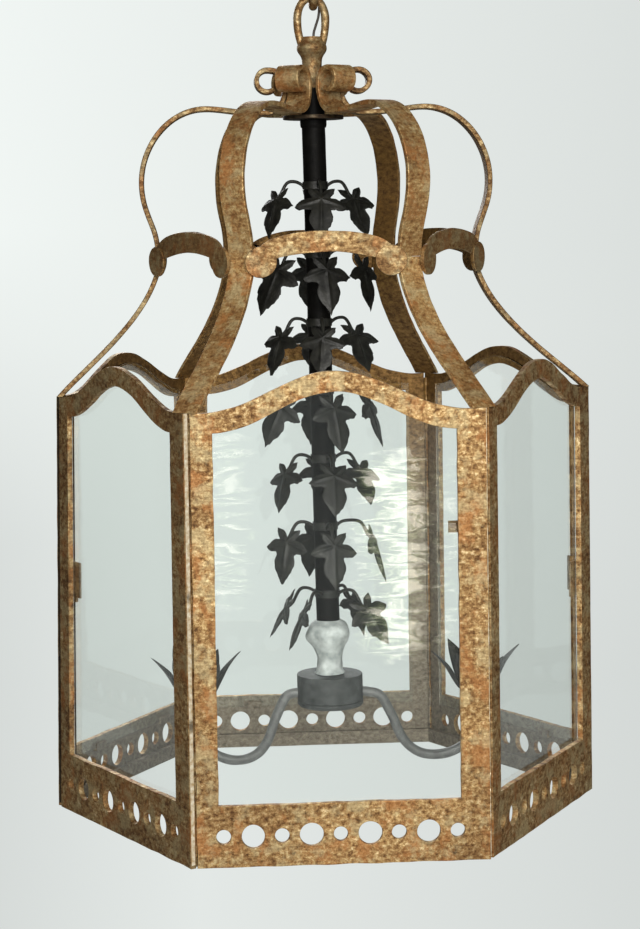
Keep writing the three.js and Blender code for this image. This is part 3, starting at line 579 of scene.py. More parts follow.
def smooth_line(points, steps):
    """Catmull-Rom curve through points of any dimension."""
    points = [Vector(p) for p in points]
    ends = [2 * points[0] - points[1], *points, 2 * points[-1] - points[-2]]
    line = []
    for i in range(1, len(ends) - 2):
        a, b, c, d = ends[i - 1:i + 3]
        for s in range(steps):
            t = s / steps
            line.append(0.5 * (2 * b + (c - a) * t + (2 * a - 5 * b + 4 * c - d) * t * t
                               + (3 * b - a - 3 * c + d) * t ** 3))
    return [*line, points[-1]]


def bezier(a, b, c, d, steps):
    """Cubic curve, its first point left out."""
    a, b, c, d = (Vector(p) for p in (a, b, c, d))
    return [((1 - t) ** 3) * a + 3 * t * (1 - t) ** 2 * b + 3 * t * t * (1 - t) * c + t ** 3 * d
            for t in ((i + 1) / steps for i in range(steps))]


def dense(loop, step):
    """Closed outline with points no further apart than step."""
    out = []
    for i, point in enumerate(loop):
        a, b = Vector(point), Vector(loop[(i + 1) % len(loop)])
        count = max(1, ceil((b - a).length / step))
        out += [a.lerp(b, j / count) for j in range(count)]
    return out


def uneven(loop, amount, seed):
    """Outline as a hand tool leaves it."""
    out = []
    for i, point in enumerate(loop):
        before, after = loop[i - 1], loop[(i + 1) % len(loop)]
        along = (Vector(after) - Vector(before)).normalized()
        shift = amount * wobble(point[0] * 0.045, point[1] * 0.045, seed)
        out.append((point[0] - along.y * shift, point[1] + along.x * shift))
    return out


def flat(outline, holes, thickness, bevel):
    """Sheet in X and Z with rounded edges, its outer face at Y 0 and its thickness towards +Y."""
    data = bpy.data.curves.new("flat", "CURVE")
    data.dimensions = "2D"
    data.fill_mode = "BOTH"
    data.extrude = thickness / 2 - bevel
    data.bevel_depth = bevel
    data.bevel_resolution = 1
    for loop in [outline, *holes]:
        spline = data.splines.new("POLY")
        spline.points.add(len(loop) - 1)
        for knot, point in zip(spline.points, loop):
            knot.co = (point[0], point[1], 0, 1)
        spline.use_cyclic_u = True
    source = add_object("flat", data)
    mesh = bpy.data.meshes.new_from_object(source)
    shape = Shape().add([(v.co.x, thickness / 2 - v.co.z, v.co.y) for v in mesh.vertices],
                        [list(face.vertices) for face in mesh.polygons])
    bpy.data.objects.remove(source)
    bpy.data.meshes.remove(mesh)
    bpy.data.curves.remove(data)
    return shape


# Supply cord, its points the same as the solids' route
CORD_JOINT = LINK_LOW + 19
LOWER_ROUTE = [(0, 0, KNOB_TOP - 12), (0, 0, KNOB_TOP + 3), (2.2, 1.6, KNOB_TOP + 11), (5.4, 4.8, KNOB_TOP + 21),
               (6.5, 6.6, KNOB_TOP + 31), (6.5, 7.8, KNOB_TOP + 41), (6.4, 8.4, CORD_JOINT - SEAT_GAP)]
UPPER_ROUTE = [(6.4, 8.4, CORD_JOINT), (6.4, 9.2, CORD_JOINT + 14), (6.4, 9.5, CANOPY_LOW - 8),
               (6.4, 9.5, CANOPY_LOW + 8)]


def make_cord(name, node, route, steps):
    line = smooth_line(route, steps)
    shape = sweep(line, circle(CORD_DIAMETER / 2, 10))
    piece = finish_piece(name, shape, CORD, node, body=None)
    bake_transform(piece)


make_cord("cord_lower", "supply_cord_lower", LOWER_ROUTE, 5)
make_cord("cord_upper", "supply_cord_upper", UPPER_ROUTE, 6)


# Body
EDGE = 0.5  # rounding of the plates' edges
SEAM = 0.7  # how far a plate stops short of its weld
WELD_RADIUS = 1.9
WELD_INSET = 4.8
WELD_PITCH, WELD_STEPS = 4, 105
# Strip set in each panel's corner seam: a painted highlight, and painted shade on the front left panel.
PAINTED_EDGE_SECTION = [(0.9, 0.5), (4.1, 2.35), (4.3, 2.0), (1.1, 0.15)]  # from the corner along the face, and inwards
PAINTED_EDGE_PITCH, PAINTED_EDGE_STEPS = 10, 42
ARCH_REACH = WINDOW_HALF + STILE / 3
PANE_HALF = WINDOW_HALF + GLASS_LAP
GLASS_FACE = PLATE + SEAT_GAP
GLASS_BACK = GLASS_FACE + GLASS + SEAT_GAP
CLIP_ROOT = PLATE - 1
CLIP_SHEET = 2
REST_WIDTH = 20
REST_LIP = 6
# Middle above the lower edge, height, and how far the clip covers the glass
CLIPS = {"tall": (226, 36, 14), "raised": (237, 36, 14), "small": (312, 11, 11), "hidden": (226, 36, 2.2)}
CLIPS_OF = {"front": ("hidden", "small"), "front_right": ("hidden", "tall"), "front_left": ("raised", "hidden")}


def bell(u, half):
    return 0.5 * (1 + cos(pi * min(abs(u), half) / half))


def arch_edge(half, reach, level, steps=48):
    """Arched edge from right to left."""
    line = [half - 2 * half * i / steps for i in range(steps + 1)]
    return [(u, level + ARCH_RISE * bell(u, reach)) for u in line]


def panel_outline(k):
    left = -HALF_SIDE + PLATE * sin(pi / 3) + CORNER_GAP + EDGE + SEAM
    right = HALF_SIDE - EDGE
    top = BODY_HEIGHT - EDGE
    outline = [(left, EDGE), (right, EDGE), (right, top), *arch_edge(ARCH_REACH, ARCH_REACH, top), (left, top)]
    half = WINDOW_HALF + EDGE
    window = [(-half, RAIL - EDGE), (half, RAIL - EDGE),
              *arch_edge(half, WINDOW_HALF, BODY_HEIGHT - SHOULDER + EDGE)]
    loops = [dense(outline, 7), dense(window, 7)]
    each_side = int((WINDOW_HALF + HOLE_PITCH / 8) / HOLE_PITCH)
    for i in range(-each_side, each_side + 1):
        radius = (BIG_HOLE if i % 2 else SMALL_HOLE) / 2 + EDGE
        drift = 0.5 * wobble(i * 3.3, k * 2.1, 0.5)
        loops.append([(x + i * HOLE_PITCH + drift, y + HOLE_LEVEL + drift / 2) for x, y in circle(radius, 30)])
    return [uneven(loop, 0.8, 3 * k + 11 * j) for j, loop in enumerate(loops)]


def fold(corners, low, high, axis):
    """Closed folded strip: an outline across, from low to high along axis 2 (Z) or 0 (X)."""
    count = len(corners)
    points = []
    for level in (low, high):
        for a, b in corners:
            points.append((a, b, level) if axis == 2 else (level, a, b))
    faces = [[i, (i + 1) % count, count + (i + 1) % count, count + i] for i in range(count)]
    faces += [list(reversed(range(count))), list(range(count, 2 * count))]
    return points, faces


def panel_clip(side, kind):
    level, height, reach = CLIPS[kind]
    arm = side * (PANE_HALF + SEAT_GAP + CLIP_SHEET)
    inner = arm - side * CLIP_SHEET
    tip = side * (PANE_HALF - reach)
    outer = GLASS_BACK + CLIP_SHEET
    corners = [(arm, CLIP_ROOT), (inner, CLIP_ROOT), (inner, GLASS_BACK), (tip, GLASS_BACK), (tip, outer),
               (arm, outer)]
    return fold(corners, level - height / 2, level + height / 2, 2)


def pane_rest(u):
    foot = RAIL - GLASS_DROP - SEAT_GAP
    low, top, back = foot - CLIP_SHEET, foot + REST_LIP, GLASS_BACK + CLIP_SHEET
    corners = [(CLIP_ROOT, foot), (CLIP_ROOT, low), (back, low), (back, top), (back - CLIP_SHEET, top),
               (back - CLIP_SHEET, foot)]
    return fold(corners, u - REST_WIDTH / 2, u + REST_WIDTH / 2, 0)


def make_panel(k, name):
    def placed(shape, depth=0.0):
        return shape.moved((0, depth - APOTHEM, 0)).turned(sixth(k))

    # The front left panel takes darker copies of the gilding for its frame and seam strip: painted shade.
    frame, edge = (SHADED, PAINTED_SHADE) if name == "front_left" else (FRAME, PAINTED_HIGHLIGHT)
    outline, *holes = panel_outline(k)
    clips = Shape()
    for side, kind in zip((-1, 1), CLIPS_OF.get(name, ("hidden", "hidden"))):
        clips.add(*panel_clip(side, kind))
    for share in (-0.6, 0.6):
        clips.add(*pane_rest(share * WINDOW_HALF))
    finish_piece(f"clips_{name}", placed(clips), CLIP, settle=settle_body)
    seam = [(-HALF_SIDE + WELD_INSET, PLATE + SEAM, 2 + i * WELD_PITCH) for i in range(WELD_STEPS)]
    weld = sweep(seam, circle(WELD_RADIUS, 8), axis=(1, 0, 0), hammer=0.25, seed=k)
    plate = placed(flat(outline, holes, PLATE, EDGE).join(weld))
    finish_piece(f"frame_{name}", plate, frame, f"panel_frame_{name}", settle_body)
    pane = [(-PANE_HALF, RAIL - GLASS_DROP), (PANE_HALF, RAIL - GLASS_DROP),
            *arch_edge(PANE_HALF, WINDOW_HALF + 5, BODY_HEIGHT - SHOULDER + 8)]
    glass = placed(flat(dense(pane, 30), [], GLASS, 0.2), GLASS_FACE)
    piece = finish_piece(f"pane_{name}", glass, CLEAR, f"glass_pane_{name}", settle_body, sharp=5)
    piece.visible_shadow = False
    # Strip in the corner seam: a painted highlight on most panels, painted shade on the front left one.
    section = [(x - HALF_SIDE, y) for x, y in PAINTED_EDGE_SECTION]
    strip = Shape()
    for i in range(PAINTED_EDGE_STEPS):
        strip.add(*fold(section, 3 + PAINTED_EDGE_PITCH * i, 3 + PAINTED_EDGE_PITCH * (i + 1), 2))
    finish_piece(f"painted_light_edge_{name}", placed(strip), edge, settle=settle_body)


for k, name in enumerate(FACES):
    make_panel(k, name)


def make_base_ring():
    face = INNER_FACE - SEAT_GAP
    outer, inner = (dense(circle(distance / COS_30, 6, -pi / 3), 20)
                    for distance in (face - EDGE, face - RING_WALL + EDGE))
    lying = Matrix(((1, 0, 0), (0, 0, 1), (0, -1, 0)))
    ring = flat(outer, [inner], RING_HEIGHT, EDGE).turned(lying).moved((0, 0, RING_HEIGHT))
    finish_piece("foot_ring", ring, LINING, "base_ring", settle_body)


make_base_ring()


# Roof and crown bars, bent in the plane of a corner
def upright(line):
    return [Vector((r, 0, z)) for r, z in line]


def rib_curves():
    foot = CORNER_RADIUS - FOOT_INSET
    neck = NECK_RADIUS - RIB / 2
    reach = foot - neck
    joint = NECK_LEVEL + NECK_JOINT
    start = Vector((foot, BODY_HEIGHT + SEAT_GAP))
    roof = [start, *bezier(start, (foot - 0.29 * reach, BODY_HEIGHT + 0.24 * ROOF_RISE),
                           (neck + 0.14 * reach, NECK_LEVEL - 0.43 * ROOF_RISE), (neck, NECK_LEVEL - 1), 36),
            Vector((neck, NECK_LEVEL + 5)), Vector((neck, joint))]
    flat_end = SCROLL_CENTRE + 3
    roll = STRIP_LEVEL + SCROLL_LIFT
    hump = STRIP_LEVEL + HUMP
    crown = [Vector((neck, joint + SEAT_GAP)), Vector((neck, NECK_TOP - 13)), Vector((neck, NECK_TOP - 7))]
    for steps, *guides in (
        (16, (neck + 2, NECK_TOP + 0.25 * BULGE_RISE), (BULGE_RADIUS, BULGE_LEVEL - 0.5 * BULGE_RISE),
         (BULGE_RADIUS, BULGE_LEVEL)),
        (26, (BULGE_RADIUS, BULGE_LEVEL + 0.54 * CROWN_RISE), (0.84 * BULGE_RADIUS, hump),
         (0.63 * BULGE_RADIUS, hump)),
        (12, (0.53 * BULGE_RADIUS, hump), (0.46 * BULGE_RADIUS, STRIP_LEVEL), (flat_end, STRIP_LEVEL)),
        (12, (SCROLL_NECK + 9, STRIP_LEVEL), (SCROLL_NECK, STRIP_LEVEL + 0.32 * SCROLL_LIFT),
         (SCROLL_NECK, roll - 5)),
        (10, (SCROLL_NECK, roll + 7), (SCROLL_CENTRE - 10, roll + SCROLL_RADIUS),
         (SCROLL_CENTRE, roll + SCROLL_RADIUS)),
    ):
        crown += bezier(crown[-1], *guides, steps)
    turns = 32
    for i in range(1, turns + 1):
        a = pi / 2 - i / turns * 1.2 * pi
        crown.append(Vector((SCROLL_CENTRE + SCROLL_RADIUS * cos(a), roll + SCROLL_RADIUS * sin(a))))
    return roof, crown


def clamp_to_sector(shape):
    """Keeps a corner's bar inside its sixth of the circle."""
    for p in shape.points:
        room = p.x * tan(pi / 6) - SEAT_GAP
        p.y = copysign(min(abs(p.y), room), p.y)
    return shape


def make_ribs():
    roof, crown = (upright(line) for line in rib_curves())
    section = bar_section(RIB_WIDTH, RIB, 0.9)
    along = (roof[1] - roof[0]).normalized()
    for k, name in enumerate(CORNERS):
        # Bars on the left and right corners take a darker copy of the gilding (painted shade), and the roof bars a
        # brighter one (painted light).
        edge_on = name in ("left", "right")
        lower = sweep(roof, section, axis=(0, 1, 0), hammer=0.03, seed=k * 7.3)
        for p in lower.points[:len(section)]:
            p += along * ((BODY_HEIGHT + SEAT_GAP - p.z) / along.z)
        finish_piece(f"roof_bar_{name}", lower.turned(sixth(k - 1)), SHADE_SIDE if edge_on else LIT_ROOF,
                     f"roof_rib_{name}", settle_body)
        upper = clamp_to_sector(sweep(crown, section, axis=(0, 1, 0), hammer=0.03, seed=k * 5.1 + 2))
        finish_piece(f"crown_bar_{name}", upper.turned(sixth(k - 1)), SHADE_SIDE if edge_on else GILT,
                     f"crown_rib_{name}", settle_crown)


make_ribs()


# Arched plates at the neck, each with a disc at its two ends
BAND_STEPS = 44
BAND_SINK = 1.4  # the arch lies a little behind the face of its discs


def make_neck_plate(k, name):
    edge = NECK_RADIUS * COS_30 + RIB_WIDTH / 2 * SIN_30
    lobe_at = NECK_RADIUS * SIN_30 - RIB_WIDTH / 2 * COS_30 - LOBE_RADIUS + LOBE_LAP
    distance = edge + SEAT_GAP + BAND_SHEET
    crest = NECK_TOP + 6
    lobe_level = NECK_LEVEL + 9
    shares = [1 - 2 * i / BAND_STEPS for i in range(BAND_STEPS + 1)]
    upper = [(s * lobe_at, crest - BAND_ARCH * s ** 2 * (0.65 + 0.35 * s ** 6)) for s in shares]
    lower = [(-s * lobe_at, crest - BAND_HEIGHT - 0.75 * BAND_ARCH * s ** 2) for s in shares]
    centres = [Vector((side * lobe_at, lobe_level)) for side in (-1, 1)]

    def outside(p):
        return all((Vector(p) - c).length > LOBE_RADIUS - 0.6 for c in centres)

    outline = uneven(dense([p for p in upper + lower if outside(p)], 5), 0.7, k + 0.5)
    band = flat(outline, [], BAND_SHEET - BAND_SINK, 0.4).moved((0, BAND_SINK - distance, 0))
    for j, centre in enumerate(centres):
        disc = [(x + centre.x, y + centre.y) for x, y in circle(LOBE_RADIUS - 0.5, 36)]
        band.join(flat(uneven(disc, 0.9, 5 * k + j), [], BAND_SHEET, 0.7).moved((0, -distance, 0)))
    finish_piece(f"neck_arch_{name}", band.turned(sixth(k)), ARCH, f"neck_plate_{name}")


for k, name in enumerate(FACES):
    make_neck_plate(k, name)


# Stem and crown plate
STEM_HOLE = STEM_RADIUS + 0.3
STEM_BORE = 8.6
PLATE_TOP = STRIP_LEVEL - RIB / 2 - SEAT_GAP
COLLAR_TOP = PLATE_TOP - CROWN_PLATE - SEAT_GAP


def rounded(profile, radius, steps=3):
    """Closed profile with its corners rounded."""
    out = []
    count = len(profile)
    for i in range(count):
        a, b, c = (Vector(profile[j % count]) for j in (i - 1, i, i + 1))
        r = min(radius, (a - b).length * 0.45, (c - b).length * 0.45)
        start = b + (a - b).normalized() * r
        end = b + (c - b).normalized() * r
        out += [(1 - t) ** 2 * start + 2 * t * (1 - t) * b + t * t * end
                for t in (j / steps for j in range(steps + 1))]
    return out


def make_stem():
    levels = [STEM_END + (STEM_TOP - STEM_END) * i / 60 for i in range(61)]
    profile = [(STEM_BORE, STEM_END), *[(STEM_RADIUS, z) for z in levels], (STEM_BORE, STEM_TOP)]
    finish_piece("stem_tube", lathe(profile, 40, 0.025), BLACK, "stem", settle_stem)
    hole, rim, low = STEM_HOLE + 0.1, SCROLL_NECK + 3, PLATE_TOP - CROWN_PLATE
    plate = rounded([(hole, low), (rim, low), (rim, PLATE_TOP), (hole, PLATE_TOP)], 0.7)
    # The crown disc takes the near black copy of the gilding: painted shade on the disc seen from below.
    finish_piece("crown_disc", lathe(plate, 72, 0.006), PAINTED_SHADE, "crown_plate", settle_crown)
    rim, low = STEM_RADIUS + 1.6, COLLAR_TOP - 8
    collar = rounded([(STEM_HOLE, low), (STEM_RADIUS + 1, low), (rim, low + 3), (rim, COLLAR_TOP),
                      (STEM_HOLE, COLLAR_TOP)], 0.6)
    finish_piece("collar", lathe(collar, 40, 0.01), BLACK, "stem_collar", settle_stem)


make_stem()


# Knob and hanging loop
LOOP_OPENING = 0.74  # angle below the level where the loop's two feet start
LOOP_HALF_STEPS = 27
TENON_RADIUS, TENON_DEPTH = 8.3, 17


def make_loop():
    seat = STEM_TOP + SEAT_GAP
    waist = STEM_RADIUS - 1.5
    bore = CORD_DIAMETER / 2 + 0.9
    side = smooth_line([(waist, seat), (waist - 0.4, seat + 12), (waist - 0.3, seat + 27), (waist + 1, seat + 32),
                        (KNOB_RADIUS - 1, seat + 36.5), (KNOB_RADIUS, seat + 40), (KNOB_RADIUS - 1, seat + 44),
                        (waist + 1.4, seat + 47.5), (waist + 0.4, KNOB_TOP)], 5)
    profile = [(bore, STEM_TOP - TENON_DEPTH), (TENON_RADIUS, STEM_TOP - TENON_DEPTH), (TENON_RADIUS, seat), *side,
               (bore, KNOB_TOP)]
    shape = lathe(profile, 48, 0.035, 4.2)
    line = []
    foot = LOOP_WIDE - KNOB_TOP + 7
    for i in range(-LOOP_HALF_STEPS, LOOP_HALF_STEPS + 1):
        angle = pi / 2 - i / LOOP_HALF_STEPS * (pi / 2 + LOOP_OPENING)
        drop = foot / sin(LOOP_OPENING) if sin(angle) < 0 else LOOP_RISE
        line.append((LOOP_HALF_WIDTH * cos(angle), 0, LOOP_WIDE + drop * sin(angle)))
    wire = sweep(line, circle(LOOP_WIRE / 2, 16), axis=(0, 1, 0), hammer=0.06, seed=1.3)
    finish_piece("knob_and_loop", shape.join(wire), DULL, "lantern_loop", settle_stem)


make_loop()


def link_line(steps=16):
    low = LINK_LOW + LINK_RADIUS
    angles = [(first + i * pi / steps, level) for first, level in ((pi, low), (0, low + LINK_STRAIGHT))
              for i in range(steps + 1)]
    return [(0, LINK_RADIUS * cos(a), level + LINK_RADIUS * sin(a)) for a, level in angles]


def make_fitting():
    link = sweep(link_line(), circle(LINK_WIRE / 2, 16), axis=(1, 0, 0), closed=True, hammer=0.05, seed=2.2)
    finish_piece("link", link, DULL, "chain_link", body="link")
    ring = [(x, 0, EYE_LOW + EYE_RADIUS + z) for x, z in circle(EYE_RADIUS, 40)]
    eye = sweep(ring, circle(EYE_WIRE / 2, 16), axis=(0, 1, 0), closed=True, hammer=0.04, seed=0.4)
    wire, collar, top = EYE_WIRE / 2, CANOPY_LOW - SEAT_GAP, CANOPY_LOW + 20
    shank = rounded([(0, EYE_TOP - 5), (5, EYE_TOP - 4), (7, collar), (wire, collar), (wire, top), (0, top)], 0.4)
    finish_piece("eye", eye.join(lathe(shank, 32)), DULL, "canopy_eye", body="canopy")


make_fitting()


# Ivy leaves
LEAF_EDGE = [[(0, 0.03), (0.16, -0.09), (0.36, -0.13), (0.56, -0.15)],
             [(0.56, -0.15), (0.52, -0.02), (0.38, 0.09), (0.6, 0.1), (0.82, 0.17), (1.04, 0.3)],
             [(1.04, 0.3), (0.82, 0.38), (0.6, 0.38), (0.42, 0.42), (0.5, 0.56), (0.45, 0.72), (0.24, 0.9),
              (0, 1.08)]]
VEINS = [(0, 1.0), (0.95, 0.28), (-0.95, 0.28), (0.46, -0.12), (-0.46, -0.12)]
LEAF_RINGS = 7
TIER_TURN = [-30, 8, 12, 5, 12, 4, 9]
# Turn of single leaves about their wires and in their own planes, by tier and place in the tier
TWIST = {(0, 0): -0.9, (0, 1): -0.65, (0, 3): 0.5, (1, 3): 1.05, (3, 3): 1.15}
ROLL = {(0, 1): 0.3, (0, 3): -0.45, (1, 3): -0.22, (3, 3): -0.45, (5, 3): -0.26}


def leaf_shape(length, width, seed):
    """Five-lobed leaf that hangs from the origin in the X-Y plane, with raised veins and drooping lobes."""
    right = []
    for part in LEAF_EDGE:
        right[-1:] = smooth_line([(x * width / 2, -y * length) for x, y in part], 3)
    edge = right + [Vector((-p.x, p.y)) for p in reversed(right[1:-1])]
    edge = [p * (1 + 0.055 * wobble(p.x * 0.45, p.y * 0.45, seed)) for p in edge]
    heart = Vector((0, -0.14 * length))
    tips = [Vector((x * width / 2, -y * length)) for x, y in VEINS]

    def height(p):
        ridge = 0
        for tip in tips:
            along = tip - heart
            t = min(max((p - heart).dot(along) / along.length_squared, 0), 1)
            gap = (p - heart - along * t).length
            ridge = max(ridge, exp(-(gap / 1.6) ** 2) * (1 - 0.6 * t))
        bend = 0.0055 * p.x ** 2 + 0.0016 * (p.y + 0.35 * length) ** 2
        curl = 1.6 * wobble(p.x * 0.05, p.y * 0.05, seed)
        return 3.2 - bend + 1.5 * ridge + curl

    points = []
    for side in (0, -LEAF_SHEET):
        points.append((heart.x, heart.y, height(heart) + side))
        for ring in range(1, LEAF_RINGS + 1):
            share = (ring / LEAF_RINGS) ** 0.85
            for p in edge:
                q = heart.lerp(p, share)
                thin = side * (1 if ring < LEAF_RINGS else 0.35)
                points.append((q.x, q.y, height(q) + thin - (0.5 if ring == LEAF_RINGS and side == 0 else 0)))
    count = len(edge)
    faces = []
    half = 1 + LEAF_RINGS * count
    for base, flip in ((0, False), (half, True)):
        for i in range(count):
            k = (i + 1) % count
            quads = [[base, base + 1 + i, base + 1 + k]]
            for ring in range(LEAF_RINGS - 1):
                a = base + 1 + ring * count
                quads.append([a + i, a + count + i, a + count + k, a + k])
            faces += [list(reversed(q)) if flip else q for q in quads]
    rim = 1 + (LEAF_RINGS - 1) * count
    faces += [[rim + i, half + rim + i, half + rim + (i + 1) % count, rim + (i + 1) % count] for i in range(count)]
    return Shape().add(points, faces)


def make_spray(tier):
    level = TIER_LEVEL + tier * TIER_PITCH
    rim, low, high = STEM_HOLE + 0.8, level - 4, level + 4
    shape = lathe(rounded([(STEM_HOLE, low), (rim, low), (rim, high), (STEM_HOLE, high)], 0.9), 28)
    for k in range(4):
        drift = wobble(tier * 1.7, k * 2.3, 0.3)
        heading = turn("Z", k * pi / 2 + radians(TIER_TURN[tier] + 14 * drift) - pi / 2)
        sway = 1 if (k + tier) % 2 else -1
        reach = TENDRIL_REACH + (7 if tier % 2 and k == 1 else 0)
        top = level + TENDRIL_RISE
        wire = smooth_line([(STEM_RADIUS - 1, 0, level - 6), (rim, 0, level), (STEM_HOLE + 9, sway, top),
                            (reach - 8, 2 * sway, top - 2), (reach, 3 * sway, level - 12)], 8)
        tendril = sweep(wire[4:], circle(TENDRIL / 2, 10), hammer=0.1, seed=tier + k)
        shape.join(tendril.turned(heading))
        length, tilt = ((0.9, 0.42), (0.98, 0.26))[tier % 2]
        size = 1 + 0.12 * drift
        blade = leaf_shape(LEAF_LENGTH * length * size, 0.91 * LEAF_WIDTH * size, tier * 4.1 + k)
        roll = ROLL.get((tier, k), 0)
        twist = TWIST.get((tier, k), 0.6 if k == 3 else sway * (0.6 if k % 2 else 0.2))
        blade.turned(turn("Z", roll + 0.25 * wobble(tier * 2.9, k * 1.3, 5.5)))
        blade.turned(turn("X", pi / 2 - tilt - 0.15 * drift))
        blade.turned(turn("Z", pi / 2 + twist + 0.3 * drift))
        shape.join(blade.moved((reach, 3 * sway, level - 10)).turned(heading))
    number = TIERS - tier
    finish_piece(f"ivy_{number}", shape, LEAF, f"leaf_spray_{number}", settle_stem, sharp=50)


for tier in range(TIERS):
    make_spray(tier)


# Stem cup and hub
# The cup's side, beyond the stem's radius and above the hub
VASE_SIDE = [(4, 0.4), (1.6, 5), (1.2, 17), (4.4, 28), (10, 36), (11.5, 43), (8.6, 50.5), (2.6, 55)]
HUB_WALL = 3
AXIS = 0.01  # smallest radius of a closed end


def make_hub():
    foot = HUB_TOP + SEAT_GAP
    side = smooth_line([(STEM_RADIUS + r, foot + z) for r, z in VASE_SIDE], 5)
    cup = lathe([(STEM_HOLE, foot), (STEM_RADIUS + 3.6, foot), *side, (STEM_HOLE, foot + 56)], 56, 0.16, 2.6)
    for p in cup.points:
        radius = hypot(p.x, p.y)
        if radius < STEM_HOLE:
            p.x, p.y = p.x * STEM_HOLE / radius, p.y * STEM_HOLE / radius
    finish_piece("vase", cup, PEWTER, "stem_cup", settle_stem, sharp=60)
    low, roof, inside = HUB_TOP - HUB_HEIGHT, HUB_TOP - 4, HUB_RADIUS - HUB_WALL
    shell = rounded([(STEM_HOLE, roof), (inside, roof), (inside, low), (HUB_RADIUS, low), (HUB_RADIUS, HUB_TOP),
                     (STEM_HOLE, HUB_TOP)], 0.9)
    finish_piece("hub_shell", lathe(shell, 64, 0.008), GREY, "hub", settle_stem)
    top, foot = low - SEAT_GAP, low - 6
    cover = rounded([(AXIS, foot), (HUB_RADIUS - 2, foot), (HUB_RADIUS, low - 4), (HUB_RADIUS, top),
                     (AXIS, top)], 0.8)
    finish_piece("hub_lid", lathe(cover, 64, 0.006), GREY, "hub_cover", settle_stem)


make_hub()


# Arms, leaf cups and candles
CUP_TOP_OF_DISC = CUP_LEVEL + 3
ARM_END = CUP_TOP_OF_DISC + 7
SLEEVE_FOOT = CUP_TOP_OF_DISC + SEAT_GAP
SLEEVE_TOP = SLEEVE_FOOT + SLEEVE_HEIGHT
SLEEVE_WALL = 1.6
PETAL_ROOT = 13


def arm_line(reach):
    return smooth_line([
        (HUB_RADIUS - 6, 0, ARM_LEVEL), (HUB_RADIUS + 4, 0, ARM_LEVEL), (0.345 * reach, 0, ARM_LEVEL - 5),
        (0.42 * reach, 0, 0.62 * ARM_LEVEL + 0.38 * ARM_DIP), (0.49 * reach, 0, 0.26 * ARM_LEVEL + 0.74 * ARM_DIP),
        (0.6 * reach, 0, ARM_DIP + 3), (0.75 * reach, 0, ARM_DIP), (0.9 * reach, 0, ARM_DIP + 8),
        (0.985 * reach, 0, 0.35 * CUP_LEVEL + 0.65 * ARM_DIP), (reach, 0, CUP_LEVEL - 12), (reach, 0, ARM_END),
    ], 6)


def petal_shape(index):
    """Thin pointed leaf that rises from the disc and turns outwards at its tip."""
    tall = CUP_HEIGHT * (0.9 if index % 2 else 1)
    rows, columns = 16, 6
    points = []
    for side in (0, 1):
        for i in range(rows + 1):
            t = i / rows
            r = PETAL_ROOT + (CUP_RADIUS - PETAL_ROOT) * (0.55 * t ** 0.6 + 0.45 * t ** 3)
            z = CUP_LEVEL + 1.2 + tall * t ** 1.25
            half = 11 * (1 - t ** 2) * (0.62 + 1.5 * t) + 0.3
            for j in range(columns + 1):
                u = 2 * j / columns - 1
                fold_in = 0.028 * (u * half) ** 2
                vein = 0.6 * exp(-(u * half / 1.2) ** 2)
                wave = 0.8 * wobble(u * 1.3, t * 3, index * 1.9)
                inward = side * LEAF_SHEET * (0.75 if abs(u) < 0.99 and i < rows else 0.3)
                points.append((r - fold_in + vein + wave * t - inward, u * half, z + 0.35 * fold_in))
    size = (rows + 1) * (columns + 1)
    faces = []
    for i in range(rows):
        for j in range(columns):
            a = i * (columns + 1) + j
            quad = [a, a + 1, a + columns + 2, a + columns + 1]
            faces += [quad, [size + q for q in reversed(quad)]]
    border = ([(i, 0) for i in range(rows)] + [(rows, j) for j in range(columns)]
              + [(i, columns) for i in range(rows, 0, -1)] + [(0, j) for j in range(columns, 0, -1)])
    keys = [i * (columns + 1) + j for i, j in border]
    faces += [[a, size + a, size + b, b] for a, b in zip(keys, keys[1:] + keys[:1])]
    return Shape().add(points, faces).turned(sixth(index))


def make_candle(side):
    reach = ARM_REACH[side]
    sign = 1 if side == "right" else -1
    offset = (sign * reach, 0, 0)
    wall = ARM_DIAMETER / 2
    arm = sweep(arm_line(reach), circle(wall, 20), axis=(0, 1, 0), hammer=0.05, seed=reach)
    arm.turned(Matrix.Diagonal((sign, 1, 1)))
    finish_piece(f"branch_{side}", arm, ARM, f"arm_{side}", settle_stem)
    hole, top = wall + SEAT_GAP, CUP_TOP_OF_DISC
    cup = lathe(rounded([(hole, CUP_LEVEL), (14, CUP_LEVEL), (17, top), (hole, top)], 0.5), 36)
    for index in range(6):
        cup.join(petal_shape(index))
    finish_piece(f"leaf_bowl_{side}", cup.moved(offset), LEAF, f"leaf_cup_{side}", settle_stem,
                 sharp=50)
    inner = SLEEVE_RADIUS - SLEEVE_WALL
    sleeve = lathe(rounded([(inner, SLEEVE_FOOT), (SLEEVE_RADIUS, SLEEVE_FOOT), (SLEEVE_RADIUS, SLEEVE_TOP),
                            (inner, SLEEVE_TOP)], 0.5), 40, 0.02, reach)
    finish_piece(f"candle_{side}", sleeve.moved(offset), IVORY, f"candle_sleeve_{side}",
                 settle_stem)
    radius, foot, well, top = inner - SEAT_GAP - 0.4, ARM_END + SEAT_GAP, SLEEVE_TOP - 22, SLEEVE_TOP + 2
    holder = lathe(rounded([(AXIS, foot), (wall, foot), (wall, SLEEVE_TOP - 34), (radius, SLEEVE_TOP - 31),
                            (radius, top), (8, top), (8, well), (AXIS, well)], 0.4), 32)
    finish_piece(f"socket_{side}", holder.moved(offset), SOCKET, f"lampholder_{side}", settle_stem)


for side in ARM_REACH:
    make_candle(side)


# Studio: pale wall colour all round, a key from the front, a light from behind, a window for the glass to mirror
WALL = (0.82, 0.86, 0.84)
ROOM = 0.1  # share of the wall's light that reaches the object
WINDOW_DISTANCE = -4300
WINDOW_LEFT, WINDOW_RIGHT, WINDOW_LOW, WINDOW_HIGH = -200, 760, -1000, 400
FLOOR_LEVEL = -1250
FLOOR_RADIUS = 2200
AIM = (0, 0, 330)


